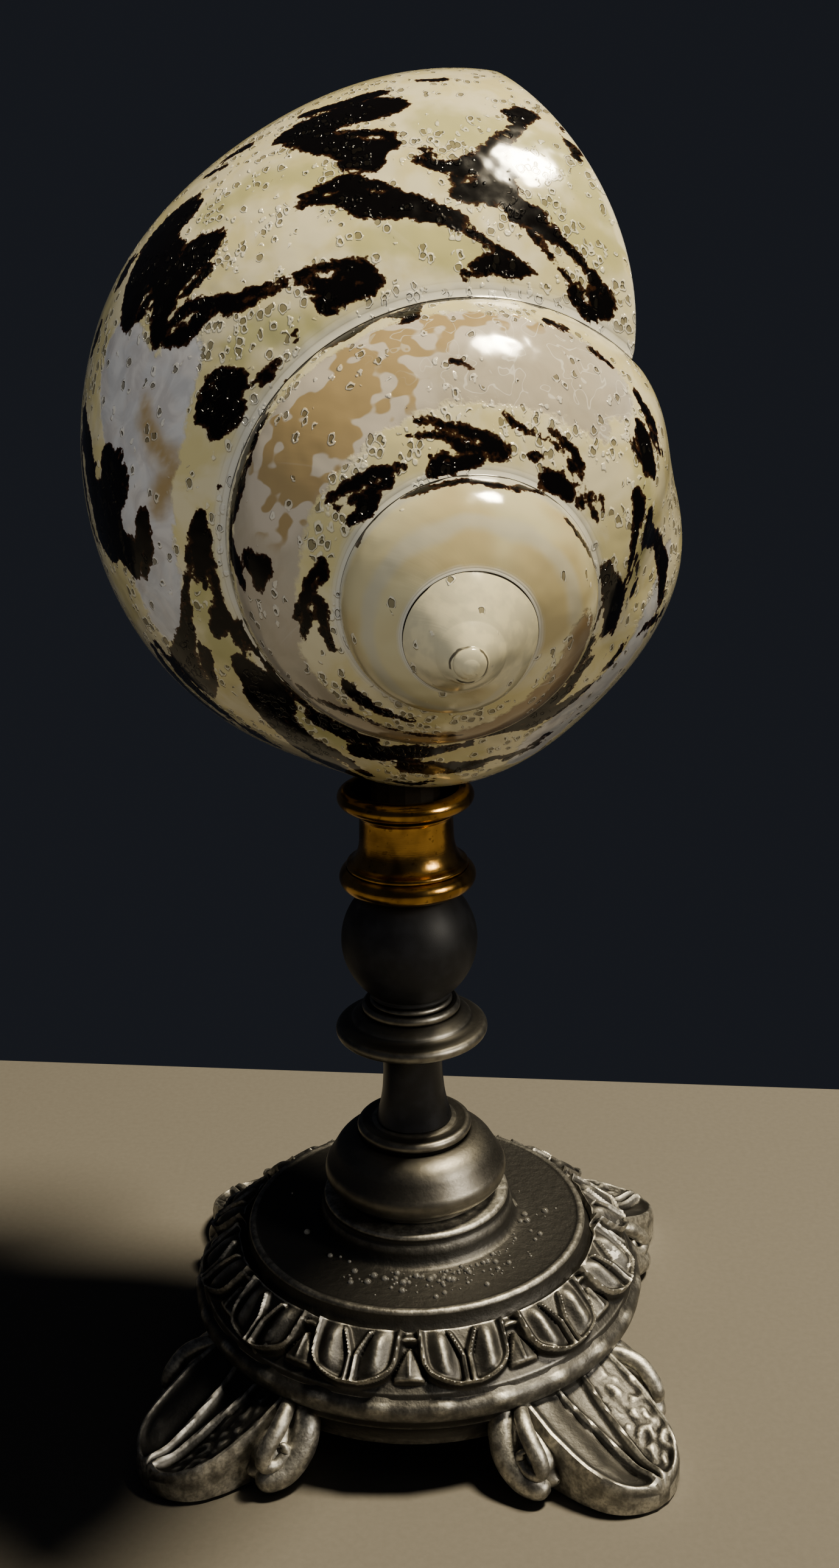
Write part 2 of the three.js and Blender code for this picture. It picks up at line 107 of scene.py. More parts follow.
class Nodes:
    """Builds one material's node tree."""

    def __init__(self, name: str) -> None:
        """Starts a material with a Principled shader.

        Args:
            name: The material's name.
        """
        self.material = bpy.data.materials.new(name)
        self.material.use_nodes = True
        self.tree = self.material.node_tree
        self.shader = self.tree.nodes["Principled BSDF"]
        self.mm = self.millimetres()

    def add(self, kind: str, *inputs: object, **settings: object) -> bpy.types.Node:
        """Adds a node.

        Args:
            kind: The node type without its ShaderNode prefix.
            *inputs: Values or sockets for the inputs in order, None to leave one as it is.
            **settings: Properties of the node.

        Returns:
            The node.
        """
        node = self.tree.nodes.new("ShaderNode" + kind)
        for key, value in settings.items():
            setattr(node, key, value)
        for socket, value in zip(node.inputs, inputs):
            self.put(socket, value)
        return node

    def put(self, socket: Socket, value: object) -> None:
        """Links a socket to another, or sets its value.

        Args:
            socket: The input.
            value: A socket to link, a value to set, or None to leave it.
        """
        if isinstance(value, Socket):
            self.tree.links.new(value, socket)
        elif value is not None:
            socket.default_value = value

    def math(self, operation: str, *values: object, clamp: bool = False) -> Socket:
        """A maths node's result."""
        return self.add("Math", *values, operation=operation, use_clamp=clamp).outputs[0]

    def times(self, value: object, *others: object) -> Socket:
        """Product of two values or more.

        Args:
            value: The first value or socket.
            *others: The rest of them.

        Returns:
            The product's socket.
        """
        for other in others:
            value = self.math("MULTIPLY", value, other)
        return value

    def plus(self, value: object, *others: object) -> Socket:
        """Sum of two values or more.

        Args:
            value: The first value or socket.
            *others: The rest of them.

        Returns:
            The sum's socket.
        """
        for other in others:
            value = self.math("ADD", value, other)
        return value

    def less(self, value: object, other: object, clamp: bool = False) -> Socket:
        """One value less another."""
        return self.math("SUBTRACT", value, other, clamp=clamp)

    def rest(self, share: object, part: float = 1.0) -> Socket:
        """What a part of a share leaves of one."""
        return self.less(1.0, self.times(share, part))

    def ramp(self, value: object, low: float, high: float, start: float = 0.0, end: float = 1.0) -> Socket:
        """Smooth map of a value from low..high to start..end."""
        node = self.add("MapRange", value, low, high, start, end, interpolation_type="SMOOTHSTEP")
        return node.outputs[0]

    def noise(self, scale: float, detail: float = 2.0, rough: float = 0.5, skew: float = 0.0,
              where: object = None) -> Socket:
        """Noise about 0.5, at a scale per millimetre or per unit of the coordinates given.

        Args:
            scale: How many waves there are to a unit.
            detail: Octaves.
            rough: How strong the finer octaves are.
            skew: How far it is distorted.
            where: Coordinates, if not Object coordinates in millimetres.

        Returns:
            The noise's socket.
        """
        node = self.add("TexNoise")
        self.put(node.inputs["Vector"], self.mm if where is None else where)
        for key, value in (("Scale", scale), ("Detail", detail), ("Roughness", rough), ("Distortion", skew)):
            self.put(node.inputs[key], value)
        return node.outputs["Fac"]

    def sway(self, scale: float, detail: float, swing: float, rough: float = 0.5) -> Socket:
        """Noise about nought that swings by so much in all."""
        return self.times(self.less(self.noise(scale, detail, rough), 0.5), swing)

    def mix(self, share: object, first: object, second: object) -> Socket:
        """Mix of two colours.

        Args:
            share: How much there is of the second.
            first: A colour or socket.
            second: A colour or socket.

        Returns:
            The mixed colour's socket.
        """
        node = self.add("Mix", data_type="RGBA")
        self.put(node.inputs["Factor"], share)
        for socket, value in ((node.inputs[6], first), (node.inputs[7], second)):
            self.put(socket, (*value, 1.0) if isinstance(value, tuple) else value)
        return node.outputs[2]

    def attribute(self, name: str) -> Socket:
        """A float attribute of the mesh."""
        return self.add("Attribute", attribute_name=name).outputs["Fac"]

    def pointiness(self) -> Socket:
        """How far an edge stands out, over 0.5, or lies in a hollow, under it."""
        return self.add("NewGeometry").outputs["Pointiness"]

    def millimetres(self, stretch: Colour = (1.0, 1.0, 1.0)) -> Socket:
        """Object coordinates in millimetres, each axis stretched."""
        place = self.add("TexCoord").outputs["Object"]
        return self.add("VectorMath", place, tuple(s / MM for s in stretch), operation="MULTIPLY").outputs[0]

    def bump(self, height: object) -> Socket:
        """Normal of a bump whose height is in millimetres.

        Args:
            height: The height socket.

        Returns:
            The normal's socket.
        """
        node = self.add("Bump")
        node.inputs["Strength"].default_value = 1.0
        node.inputs["Distance"].default_value = 1.0
        self.put(node.inputs["Height"], self.times(height, MM))
        return node.outputs[0]

    def finish(self, **sockets: object) -> bpy.types.Material:
        """Sets the shader's sockets by name, with underscores for spaces, and gives the material.

        Args:
            **sockets: Values or sockets for the shader's inputs.

        Returns:
            The material.
        """
        for key, value in sockets.items():
            socket = self.shader.inputs[key.replace("_", " ")]
            self.put(socket, (*value, 1.0) if isinstance(value, tuple) and len(value) == 3 else value)
        return self.material


# Mesh helpers


def arc(radius: float, height: float, size: float, start: float, end: float, steps: int = 8) -> Outline:
    """Round stretch of a turned outline.

    Args:
        radius: Radius of the arc's centre from the axis.
        height: Height of the arc's centre.
        size: The arc's own radius.
        start: First angle in degrees from outward, turning upward.
        end: Last angle.
        steps: How many straight bits it has.

    Returns:
        Points of [radius, height].
    """
    angles = (math.radians(start + (end - start) * i / steps) for i in range(steps + 1))
    return [(radius + size * math.cos(a), height + size * math.sin(a)) for a in angles]


def sweep(start: tuple[float, float], bend: tuple[float, float], end: tuple[float, float],
          steps: int = 8) -> Outline:
    """Curve of a turned outline from start to end, drawn towards bend.

    Args:
        start: Its first point of (radius, height).
        bend: The point it is drawn towards.
        end: Its last point.
        steps: How many straight bits it has.

    Returns:
        Points of (radius, height).
    """
    points = []
    for i in range(steps + 1):
        t = i / steps
        a, b, c = (1 - t) ** 2, 2 * t * (1 - t), t * t
        points.append(tuple(a * p + b * q + c * r for p, q, r in zip(start, bend, end)))
    return points


def open_edges(bm: Solid) -> list[bmesh.types.BMEdge]:
    """Edges with a face on one side only."""
    return [e for e in bm.edges if e.is_boundary]


def of_kind(made: list, kind: type) -> list:
    """The vertices, edges or faces among what an operator made."""
    return [g for g in made if isinstance(g, kind)]


class Slot(Enum):
    """The record's material slots."""

    SHELL = "shell"
    BRASS = "brass"
    MATT = "matt_black"
    CASTING = "black_casting"


def finish_mesh(bm: Solid, name: str, crease: float = 32.0) -> Piece:
    """Makes the object of a mesh in the row frame.

    Args:
        bm: The mesh, in metres.
        name: The piece's name.
        crease: Edges sharper than this, in degrees, stay crisp.

    Returns:
        The object, riding on the one body.
    """
    limit = math.radians(crease)
    for face in bm.faces:
        face.smooth = True
    for edge in bm.edges:
        edge.smooth = len(edge.link_faces) == 2 and edge.calc_face_angle(0.0) < limit
    mesh = bpy.data.meshes.new(name)
    bm.to_mesh(mesh)
    bm.free()
    piece = bpy.data.objects.new(name, mesh)
    bpy.context.scene.collection.objects.link(piece)
    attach(piece, "root")
    return piece


def turned(outline: Outline, steps: int = 96) -> Solid:
    """Solid turned about the stem's axis.

    Args:
        outline: Closed outline of (radius, height) in millimetres, without its first point repeated.
        steps: Facets round the axis.

    Returns:
        The closed mesh, in metres.
    """
    bm = bmesh.new()
    verts = [bm.verts.new(STEM + Vector((r * MM, 0.0, z * MM))) for r, z in outline]
    edges = [bm.edges.new((a, b)) for a, b in zip(verts, verts[1:] + verts[:1])]
    bmesh.ops.spin(bm, geom=verts + edges, cent=STEM, axis=(0, 0, 1), dvec=(0, 0, 0), angle=TAU,
                   steps=steps, use_merge=True, use_duplicate=False)
    bmesh.ops.remove_doubles(bm, verts=bm.verts, dist=WELD)
    bmesh.ops.recalc_face_normals(bm, faces=bm.faces)
    return bm


def sheet_of(bm: Solid, columns: int, rows: int) -> tuple[list, np.ndarray, np.ndarray]:
    """Adds a flat grid to a mesh.

    Args:
        bm: The mesh.
        columns: Cells along the first way.
        rows: Cells along the second way.

    Returns:
        The new vertices, and each one's column and row.
    """
    made = bmesh.ops.create_grid(bm, x_segments=columns, y_segments=rows, size=1.0)["verts"]
    flat = np.array([v.co for v in made])
    return made, np.rint((flat[:, 0] + 1) / 2 * columns), np.rint((flat[:, 1] + 1) / 2 * rows)


def merge_into(bm: Solid, other: Solid) -> None:
    """Adds another mesh to this one and frees it.

    Args:
        bm: The mesh that grows.
        other: The mesh that it takes in.
    """
    carrier = bpy.data.meshes.new("carrier")
    other.to_mesh(carrier)
    other.free()
    bm.from_mesh(carrier)
    bpy.data.meshes.remove(carrier)


# The shell's form


class Place(Enum):
    """Named places across a whorl."""

    SUTURE = 0.0
    SEAM = 1.0
    UMBILICUS = 2.0
    MOUTH = 3.0


@dataclass(frozen=True)
class Swelling:
    """A stretch of the last whorl that bulges or draws in, as growth was uneven.

    It has its middle and half its length in degrees back from the lip, its height in millimetres, and the
    directions between which it dies away toward the base.
    """

    middle: float
    half: float
    height: float
    fades: tuple[float, float] = (90, 180)

    def at(self, back: np.ndarray, way: np.ndarray) -> np.ndarray:
        """How far it stands out, in millimetres."""
        along = np.clip(np.abs(back - self.middle) / self.half, 0, 1)
        return self.height * np.cos(math.pi / 2 * along) ** 2 * (1 - smoothstep(way, *self.fades))


@dataclass(frozen=True)
class Spiral:
    """The shell as a logarithmic helix, in millimetres from the stem's axis.

    A point is given by how far back from the lip its growth line is, in degrees, and by its place across
    the whorl: 0 at the suture, 1 at the seam where the next whorl covers it, 2 in the umbilicus.
    """

    apex: Colour = (9.13, -56.47, 140.77)
    yaw: float = math.radians(5.5)
    dip: float = math.radians(11.15)
    growth: float = math.log(1.968) / TAU
    suture_radius: float = 42.0
    suture_slope: float = 1.27
    suture_power: float = 1.05
    body_section: Colour = (23.7, 99.1, 46.8)
    spire_section: Colour = (20.5, 110.8, 60.0)
    stretch: float = 1.067
    tilt: float = math.radians(-13.4)
    lip: float = -0.68
    lip_lag: float = 0.66
    lag_rise: float = 78.0
    lag_level: tuple[float, float] = (28, 60)
    lag_fall: float = 170.0
    suture_way: float = -50.0
    seam_way: float = 12.6
    seam_fade: float = 1.6
    seam_end: float = 90.0
    spire_from: float = 1.25
    spire_turns: float = 1.15
    cone_start: tuple[float, float] = (950, 1010)
    cone_end: tuple[float, float] = (1590, 1640)
    cone_share: float = 0.8
    swell_from: float = -20.0
    core: tuple[float, float] = (40.0, 88.0)
    base_reach: tuple = ((12.6, 1), (30, 0.97), (45, 0.88), (60, 0.75), (78, 0.62), (97, 0.53), (120, 0.44),
                         (150, 0.33), (180, 0.27), (202, 0.3), (220, 0.37))
    swellings: tuple[Swelling, ...] = (
        Swelling(38, 38, -1.3), Swelling(140, 57, 0.85), Swelling(212, 42, 2.5, (-18, 10)),
        Swelling(297, 27, -2.4))

    def axes(self) -> tuple[np.ndarray, np.ndarray, np.ndarray]:
        """The way the spire points, and the two ways square to it.

        Returns:
            Three unit vectors.
        """
        spire = np.array([math.sin(self.yaw) * math.cos(self.dip), -math.cos(self.yaw) * math.cos(self.dip),
                          -math.sin(self.dip)])
        right = np.array([1.0, 0.0, 0.0]) - spire * spire[0]
        right /= np.linalg.norm(right)
        return spire, right, np.cross(right, spire)

    def lag(self, way: np.ndarray) -> np.ndarray:
        """How far a growth line trails the suture, in radians, by direction in degrees.

        Args:
            way: Directions across the whorl.

        Returns:
            One angle a direction.
        """
        level, falls = self.lag_level
        rise = np.sin(math.pi / 2 * (way - self.suture_way) / self.lag_rise)
        fall = 0.5 + 0.5 * np.cos(np.clip((way - falls) / self.lag_fall, 0, 1) * math.pi)
        return self.lip_lag * np.where(way < level, rise, np.where(way < falls, 1.0, fall))

    @property
    def lap(self) -> float:
        """Growth from a point of the seam on to the same point of the suture, in degrees."""
        return math.degrees(TAU - float(self.lag(np.array(self.seam_way))))

    def suture(self, turn: np.ndarray) -> np.ndarray:
        """Radius and drop of the suture.

        Args:
            turn: Growth angles in radians.

        Returns:
            Rows of (radius, drop) in millimetres.
        """
        grown = np.exp(self.growth * turn)
        return np.stack([self.suture_radius * grown,
                         self.suture_slope * self.suture_radius * grown ** self.suture_power], -1)

    def ellipse(self, turn: np.ndarray, way: np.ndarray, reach: np.ndarray) -> np.ndarray:
        """Radius and drop of a plain elliptical whorl.

        Args:
            turn: Growth angles in radians.
            way: Directions across the whorl, in degrees.
            reach: Shares of the ellipse's radius.

        Returns:
            Rows of (radius, drop) in millimetres.
        """
        back = np.clip(-(turn + self.spire_from) / TAU, 0, self.spire_turns) / self.spire_turns
        centre, drop, radius = (b + (s - b) * back for b, s in zip(self.body_section, self.spire_section))
        x = np.cos(np.radians(way)) * radius * reach
        y = np.sin(np.radians(way)) * radius * reach * self.stretch
        co, si = math.cos(self.tilt), math.sin(self.tilt)
        grown = np.exp(self.growth * turn)
        return np.stack([(centre + co * x - si * y) * grown, (drop + si * x + co * y) * grown], -1)

    def section(self, turn: np.ndarray, way: np.ndarray, reach: np.ndarray) -> np.ndarray:
        """Radius and drop of the whorl's outside, drawn onto the suture above and the one below it.

        Args:
            turn: Growth angles in radians.
            way: Directions across the whorl, in degrees.
            reach: Shares of the ellipse's radius.

        Returns:
            Rows of (radius, drop) in millimetres.
        """
        one = np.ones_like(turn)
        above = self.suture(turn) - self.ellipse(turn, one * self.suture_way, one)
        below = self.suture(turn + TAU) - self.ellipse(turn, one * self.seam_way, one)
        fade = 1 - smoothstep(turn, self.lip - TAU, self.lip - TAU + self.seam_fade)
        near = smoothstep(way, self.suture_way, self.seam_way)
        seam = fade * near * (1 - smoothstep(way, self.seam_way, self.seam_end))
        return self.ellipse(turn, way, reach) + above * (1 - near)[..., None] + below * seam[..., None]

    def base_line(self, share: np.ndarray) -> np.ndarray:
        """Direction and reach over the base, from the seam at 0 to the umbilicus at 1, as a smooth curve."""
        knots = np.array(self.base_reach, float)
        return through(knots, np.clip(share, 0, 1) * (len(knots) - 1))

    def point(self, back: np.ndarray, place: np.ndarray, inset: float | np.ndarray = 0.0) -> np.ndarray:
        """Points of the shell in metres, in the row frame.

        Args:
            back: Degrees of growth behind the lip.
            place: Place across the whorl.
            inset: How far inside the outside the points lie, in millimetres.

        Returns:
            An array of points.
        """
        back, place = np.broadcast_arrays(np.asarray(back, float), np.asarray(place, float))
        base = self.base_line(place - 1)
        way = np.where(place < 1, self.suture_way + (self.seam_way - self.suture_way) * place, base[..., 0])
        reach = np.where(place < 1, 1.0, base[..., 1])
        turn = self.lip - np.radians(back) - self.lag(way)
        flat = self.section(turn, way, reach)
        share = np.clip((way - self.suture_way) / (self.seam_way - self.suture_way), 0, 1)[..., None]
        cone = self.suture(turn) * (1 - share) + self.suture(turn + TAU) * share
        worn = smoothstep(back, *self.cone_start) * (1 - smoothstep(back, *self.cone_end))
        flat = flat + (cone - flat) * self.cone_share * worn[..., None]
        outward = np.stack([np.cos(np.radians(way)), np.sin(np.radians(way))], -1)
        swell = sum(s.at(back, way) for s in self.swellings)
        flat = flat + outward * (swell * smoothstep(way, self.suture_way, self.swell_from))[..., None]
        middle = np.array(self.core) * np.exp(self.growth * turn)[..., None] - flat
        flat = flat + middle / np.linalg.norm(middle, axis=-1, keepdims=True) * np.asarray(inset)[..., None]
        spire, right, down = self.axes()
        out = (np.array(self.apex) + flat[..., :1] * np.cos(turn)[..., None] * right
               + flat[..., :1] * np.sin(turn)[..., None] * down - flat[..., 1:] * spire)
        return out * MM + np.array(STEM)

    def on_axis(self, drop: float) -> Vector:
        """Point of the shell's own axis, so far behind the apex."""
        return Vector((np.array(self.apex) - self.axes()[0] * drop) * MM) + STEM


# The shell's markings, each a run of (degrees back from the lip, place, half width in millimetres)

Stroke = tuple[tuple[float, float, float], ...]
Scroll = tuple[tuple[float, float, float, float], ...]

BODY_FLAMES: dict[str, tuple[Stroke, ...]] = {
    "two-armed patch at the top": (
        ((38, 0.82, 0.9), (34, 0.82, 2.2), (28, 0.78, 3.2), (24, 0.77, 3.4), (21, 0.75, 1.8)),
        ((38, 0.71, 0.9), (36, 0.69, 2.4), (34, 0.62, 2.8), (33, 0.57, 2.3), (29, 0.57, 1.5)),
        ((36, 0.78, 2.6), (34, 0.73, 2.4)),
        ((36, 0.55, 2.2), (34, 0.52, 2.0)),
        ((31, 0.91, 1.2), (26, 0.86, 1.2), (22, 0.86, 1.4), (20, 0.85, 1.0)),
        ((32, 0.70, 0.7), (30, 0.66, 1.0), (27, 0.60, 0.9)),
    ),
    "long streak and its patch": (
        ((50, 0.46, 0.6), (48, 0.46, 1.2), (45, 0.43, 1.0)),
        ((41, 0.47, 1.3), (43, 0.42, 2.4), (43, 0.36, 2.5), (39, 0.31, 1.6), (36, 0.27, 1.2),
         (32, 0.21, 0.8), (29, 0.16, 0.6)),
        ((38, 0.36, 2.0), (35, 0.31, 1.4), (31, 0.25, 0.8)),
        ((48, 0.49, 0.8), (46, 0.49, 1.1), (43, 0.48, 1.2), (40, 0.49, 1.3), (39, 0.45, 1.2),
         (37, 0.40, 0.9)),
        ((39, 0.07, 0.9), (34, 0.10, 1.6), (31, 0.10, 1.9), (27, 0.10, 1.5), (23, 0.10, 0.4)),
        ((30, 0.15, 0.7), (27, 0.14, 0.7)),
    ),
    "hooked patch at the left": (
        ((54, 0.78, 1.1), (56, 0.79, 2.9), (61, 0.80, 3.3), (67, 0.77, 3.8), (74, 0.70, 3.0),
         (78, 0.66, 1.5)),
        ((60, 0.55, 1.1), (64, 0.56, 3.2), (70, 0.57, 3.2), (76, 0.53, 2.0), (82, 0.48, 1.5)),
        ((82, 0.44, 1.2), (82, 0.39, 1.6), (78, 0.37, 1.4), (75, 0.40, 1.3)),
        ((64, 0.70, 3.2), (68, 0.66, 3.2)),
        ((65, 0.87, 0.8), (61, 0.87, 1.2), (57, 0.86, 1.3), (52, 0.82, 0.9)),
        ((63, 0.65, 0.7), (61, 0.59, 0.8), (59, 0.56, 0.6)),
        ((67, 0.47, 0.8), (70, 0.48, 1.0), (73, 0.48, 0.9)),
        ((73, 0.62, 0.8), (76, 0.61, 1.0), (78, 0.64, 0.8)),
        ((80, 0.45, 0.6), (76, 0.45, 1.1), (74, 0.42, 0.7)),
    ),
    "band below it": (
        ((75, 0.39, 0.9), (74, 0.35, 1.3), (73, 0.31, 1.2), (68, 0.27, 0.5), (62, 0.23, 0.7),
         (58, 0.20, 0.9)),
        ((76, 0.33, 1.0), (74, 0.28, 0.9), (69, 0.24, 0.5), (63, 0.20, 0.5)),
        ((57, 0.17, 1.9), (56, 0.13, 1.7)),
        ((62, 0.14, 1.9), (66, 0.12, 1.9), (68, 0.10, 1.1)),
        ((65, 0.18, 0.8), (68, 0.12, 1.1), (68, 0.07, 0.9)),
        ((62, 0.10, 1.4), (59, 0.09, 1.3), (56, 0.09, 0.8)),
        ((56, 0.20, 0.7), (54, 0.18, 0.8)),
        ((78, 0.08, 0.6), (76, 0.09, 0.6)),
    ),
    "spotted patch by the highlight": (
        ((8, 0.67, 0.8), (5, 0.67, 2.2), (8, 0.61, 1.3), (13, 0.54, 1.4)),
        ((16, 0.51, 1.6), (19, 0.43, 2.6), (20, 0.37, 2.7), (20, 0.32, 1.9), (20, 0.28, 1.6)),
        ((21, 0.45, 1.9), (25, 0.43, 1.6)),
        ((28, 0.49, 0.9), (27, 0.46, 1.3), (26, 0.44, 1.0)),
        ((26, 0.53, 0.7), (26, 0.51, 0.9), (26, 0.48, 0.7)),
        ((12, 0.55, 1.0), (16, 0.48, 1.4), (17, 0.42, 1.4), (16, 0.40, 0.8)),
        ((18, 0.45, 1.2), (22, 0.34, 1.5), (20, 0.32, 1.5), (18, 0.29, 0.9)),
        ((15, 0.28, 0.6), (14, 0.24, 0.5)),
        ((10, 0.15, 0.6), (8, 0.13, 0.9), (6, 0.10, 0.9), (6, 0.07, 0.6)),
        ((16, 0.07, 0.6), (14, 0.04, 1.2), (12, 0.03, 1.3), (8, 0.07, 1.3)),
        ((12, 0.09, 0.6), (10, 0.07, 1.4)),
        ((27, 0.35, 2.0), (24, 0.34, 2.2)),
        ((20, 0.28, 1.6), (16, 0.23, 1.2), (12, 0.18, 0.9), (9, 0.14, 0.9), (6, 0.09, 1.0)),
        ((22, 0.28, 0.8), (20, 0.20, 0.6), (17, 0.12, 0.5), (15, 0.07, 0.6), (13, 0.04, 0.7)),
        ((17, 0.31, 0.9), (16, 0.26, 0.9), (13, 0.20, 0.7), (10, 0.14, 0.8), (6, 0.10, 1.0)),
        ((16, 0.06, 0.6), (14, 0.05, 1.1), (10, 0.05, 1.0)),
        ((14, 0.11, 0.5), (9, 0.09, 0.6)),
        ((0, 0.67, 0.4), (1, 0.60, 0.8), (1, 0.55, 1.2), (2, 0.52, 0.8)),
    ),
    "dashes on the shoulder": (
        ((48, 0.93, 0.9), (45, 0.87, 0.6)),
        ((44, 0.95, 0.8), (40, 0.92, 1.1)),
        ((15, 0.90, 0.5), (12, 0.88, 0.9), (9, 0.87, 0.5)),
        ((70, 0.90, 1.1), (66, 0.92, 1.6)),
        ((76, 0.92, 0.8), (78, 0.91, 1.3), (81, 0.92, 1.0)),
    ),
    "oval near the suture": (
        ((90, 0.18, 1.5), (91, 0.13, 1.9), (96, 0.14, 2.8), (100, 0.12, 2.3), (105, 0.11, 0.8)),
        ((90, 0.06, 0.8), (88, 0.06, 1.1), (84, 0.06, 0.7)),
        ((90, 0.21, 1.0), (96, 0.20, 1.2), (100, 0.18, 1.1)),
        ((96, 0.07, 0.7), (102, 0.07, 0.8), (105, 0.11, 0.6)),
        ((118, 0.04, 0.6),),
    ),
    "left edge": (
        ((92, 0.86, 1.4), (100, 0.75, 2.5), (108, 0.68, 2.8), (114, 0.66, 2.8), (118, 0.60, 2.6)),
        ((102, 0.57, 2.2), (106, 0.53, 3.4), (110, 0.52, 3.1)),
        ((109, 0.60, 3.4), (118, 0.52, 3.4), (122, 0.46, 3.0), (126, 0.44, 1.5)),
        ((117, 0.35, 1.5), (121, 0.36, 1.7), (124, 0.41, 1.2)),
        ((91, 0.86, 1.4), (96, 0.75, 1.1), (102, 0.68, 1.0)),
        ((96, 0.89, 0.8), (104, 0.84, 1.2), (110, 0.81, 1.0), (114, 0.77, 0.7)),
        ((102, 0.49, 0.8), (108, 0.44, 0.9), (112, 0.46, 0.8)),
        ((120, 0.33, 0.9), (124, 0.33, 1.0), (128, 0.39, 1.0)),
    ),
    "upright bar": (
        ((122, 0.10, 0.6), (128, 0.10, 2.1), (134, 0.11, 1.8), (139, 0.13, 0.5)),
        ((128, 0.15, 0.5), (135, 0.18, 0.5), (142, 0.26, 0.5), (145, 0.34, 1.4)),
        ((142, 0.07, 0.7), (150, 0.07, 1.1), (160, 0.06, 1.0)),
        ((162, 0.13, 2.0), (171, 0.12, 3.6), (178, 0.12, 2.4)),
        ((136, 0.07, 0.9), (142, 0.07, 0.9), (146, 0.07, 0.8)),
        ((136, 0.15, 0.7), (140, 0.12, 0.6)),
        ((136, 0.19, 0.5), (142, 0.23, 0.8), (146, 0.27, 1.0), (149, 0.33, 1.0)),
        ((146, 0.10, 0.9), (151, 0.14, 1.4), (152, 0.09, 1.0)),
        ((154, 0.03, 0.6), (162, 0.02, 0.7), (169, 0.02, 0.6)),
    ),
    "lower left": (
        ((138, 0.60, 1.0), (144, 0.64, 2.1), (150, 0.65, 2.3), (156, 0.62, 1.8), (160, 0.58, 1.0)),
        ((146, 0.33, 2.0), (148, 0.41, 3.4), (153, 0.42, 2.3), (156, 0.41, 1.4)),
        ((150, 0.26, 0.7), (154, 0.31, 1.1)),
        ((164, 0.51, 0.8), (168, 0.53, 1.4), (172, 0.54, 0.8)),
        ((169, 0.20, 2.3), (178, 0.27, 2.5), (184, 0.36, 2.6), (190, 0.43, 1.8), (195, 0.48, 0.7)),
        ((139, 0.54, 0.9), (144, 0.51, 1.3), (148, 0.52, 1.7), (154, 0.51, 1.6), (160, 0.50, 1.1),
         (162, 0.50, 0.7)),
        ((152, 0.24, 0.8), (155, 0.29, 0.9), (157, 0.36, 0.8)),
        ((148, 0.40, 1.0), (153, 0.38, 1.4), (156, 0.42, 1.0)),
        ((184, 0.23, 1.0), (190, 0.25, 1.4), (195, 0.29, 1.2), (198, 0.36, 0.8)),
        ((166, 0.46, 0.5), (172, 0.53, 0.6)),
    ),
    "bands under the suture": (
        ((164, 0.02, 0.5), (174, 0.03, 0.7), (181, 0.04, 0.7), (192, 0.06, 0.8), (200, 0.05, 0.6)),
        ((180, 0.18, 1.3), (186, 0.26, 1.4), (189, 0.31, 1.3), (194, 0.44, 0.8)),
        ((236, 0.06, 0.8), (246, 0.08, 1.3), (256, 0.09, 1.6), (266, 0.10, 1.4), (276, 0.09, 0.9),
         (284, 0.10, 0.6)),
        ((212, 0.19, 0.6), (218, 0.21, 0.9), (225, 0.25, 0.9), (232, 0.30, 0.8), (238, 0.41, 0.7)),
        ((203, 0.38, 0.6), (208, 0.39, 0.9), (214, 0.34, 0.6)),
        ((186, 0.08, 0.8), (190, 0.09, 1.5), (198, 0.09, 1.3), (206, 0.09, 1.2)),
        ((200, 0.17, 2.0), (208, 0.15, 2.2), (216, 0.12, 1.9), (228, 0.11, 0.8), (235, 0.11, 0.5)),
        ((211, 0.23, 1.6), (217, 0.26, 1.6), (228, 0.30, 0.8)),
        ((268, 0.23, 0.8), (258, 0.18, 1.8), (252, 0.16, 1.6), (246, 0.11, 0.7)),
        ((280, 0.33, 0.7), (272, 0.24, 0.6)),
        ((293, 0.04, 1.0), (278, 0.06, 0.8), (269, 0.06, 0.7)),
        ((184, 0.56, 0.9), (194, 0.56, 1.2), (206, 0.52, 1.0)),
        ((232, 0.36, 0.9), (244, 0.37, 0.7)),
    ),
    "right side": (
        ((326, 0.33, 1.2), (323, 0.32, 1.7), (320, 0.26, 1.1), (311, 0.21, 0.6), (305, 0.18, 0.5)),
        ((311, 0.27, 0.5), (303, 0.21, 0.5)),
        ((316, 0.39, 1.2), (310, 0.37, 2.2), (305, 0.44, 1.6), (300, 0.51, 1.3), (289, 0.58, 1.9),
         (285, 0.57, 1.6), (280, 0.56, 1.0)),
        ((278, 0.40, 0.5), (277, 0.51, 0.9), (274, 0.62, 0.7)),
        ((323, 0.06, 0.9), (314, 0.10, 1.1), (302, 0.17, 1.3), (295, 0.18, 1.2), (290, 0.18, 0.8)),
        ((306, 0.30, 0.5), (298, 0.33, 0.7), (296, 0.28, 0.8)),
        ((332, 0.46, 0.9), (328, 0.45, 0.8)),
        ((324, 0.59, 0.6), (321, 0.58, 0.8), (316, 0.62, 0.4)),
        ((330, 0.70, 0.7), (324, 0.65, 1.2), (321, 0.61, 0.6)),
        ((330, 0.57, 0.8), (327, 0.53, 1.9), (324, 0.48, 2.0), (320, 0.48, 0.9)),
        ((324, 0.04, 0.9), (311, 0.07, 1.4), (304, 0.11, 1.8), (299, 0.13, 2.1), (294, 0.12, 1.1)),
        ((306, 0.02, 0.6), (300, 0.02, 0.6)),
    ),
    "under the mouth's edge": (
        ((352, 0.84, 0.5), (348, 0.83, 0.7)),
        ((342, 0.77, 0.6), (336, 0.73, 0.4)),
    ),
}

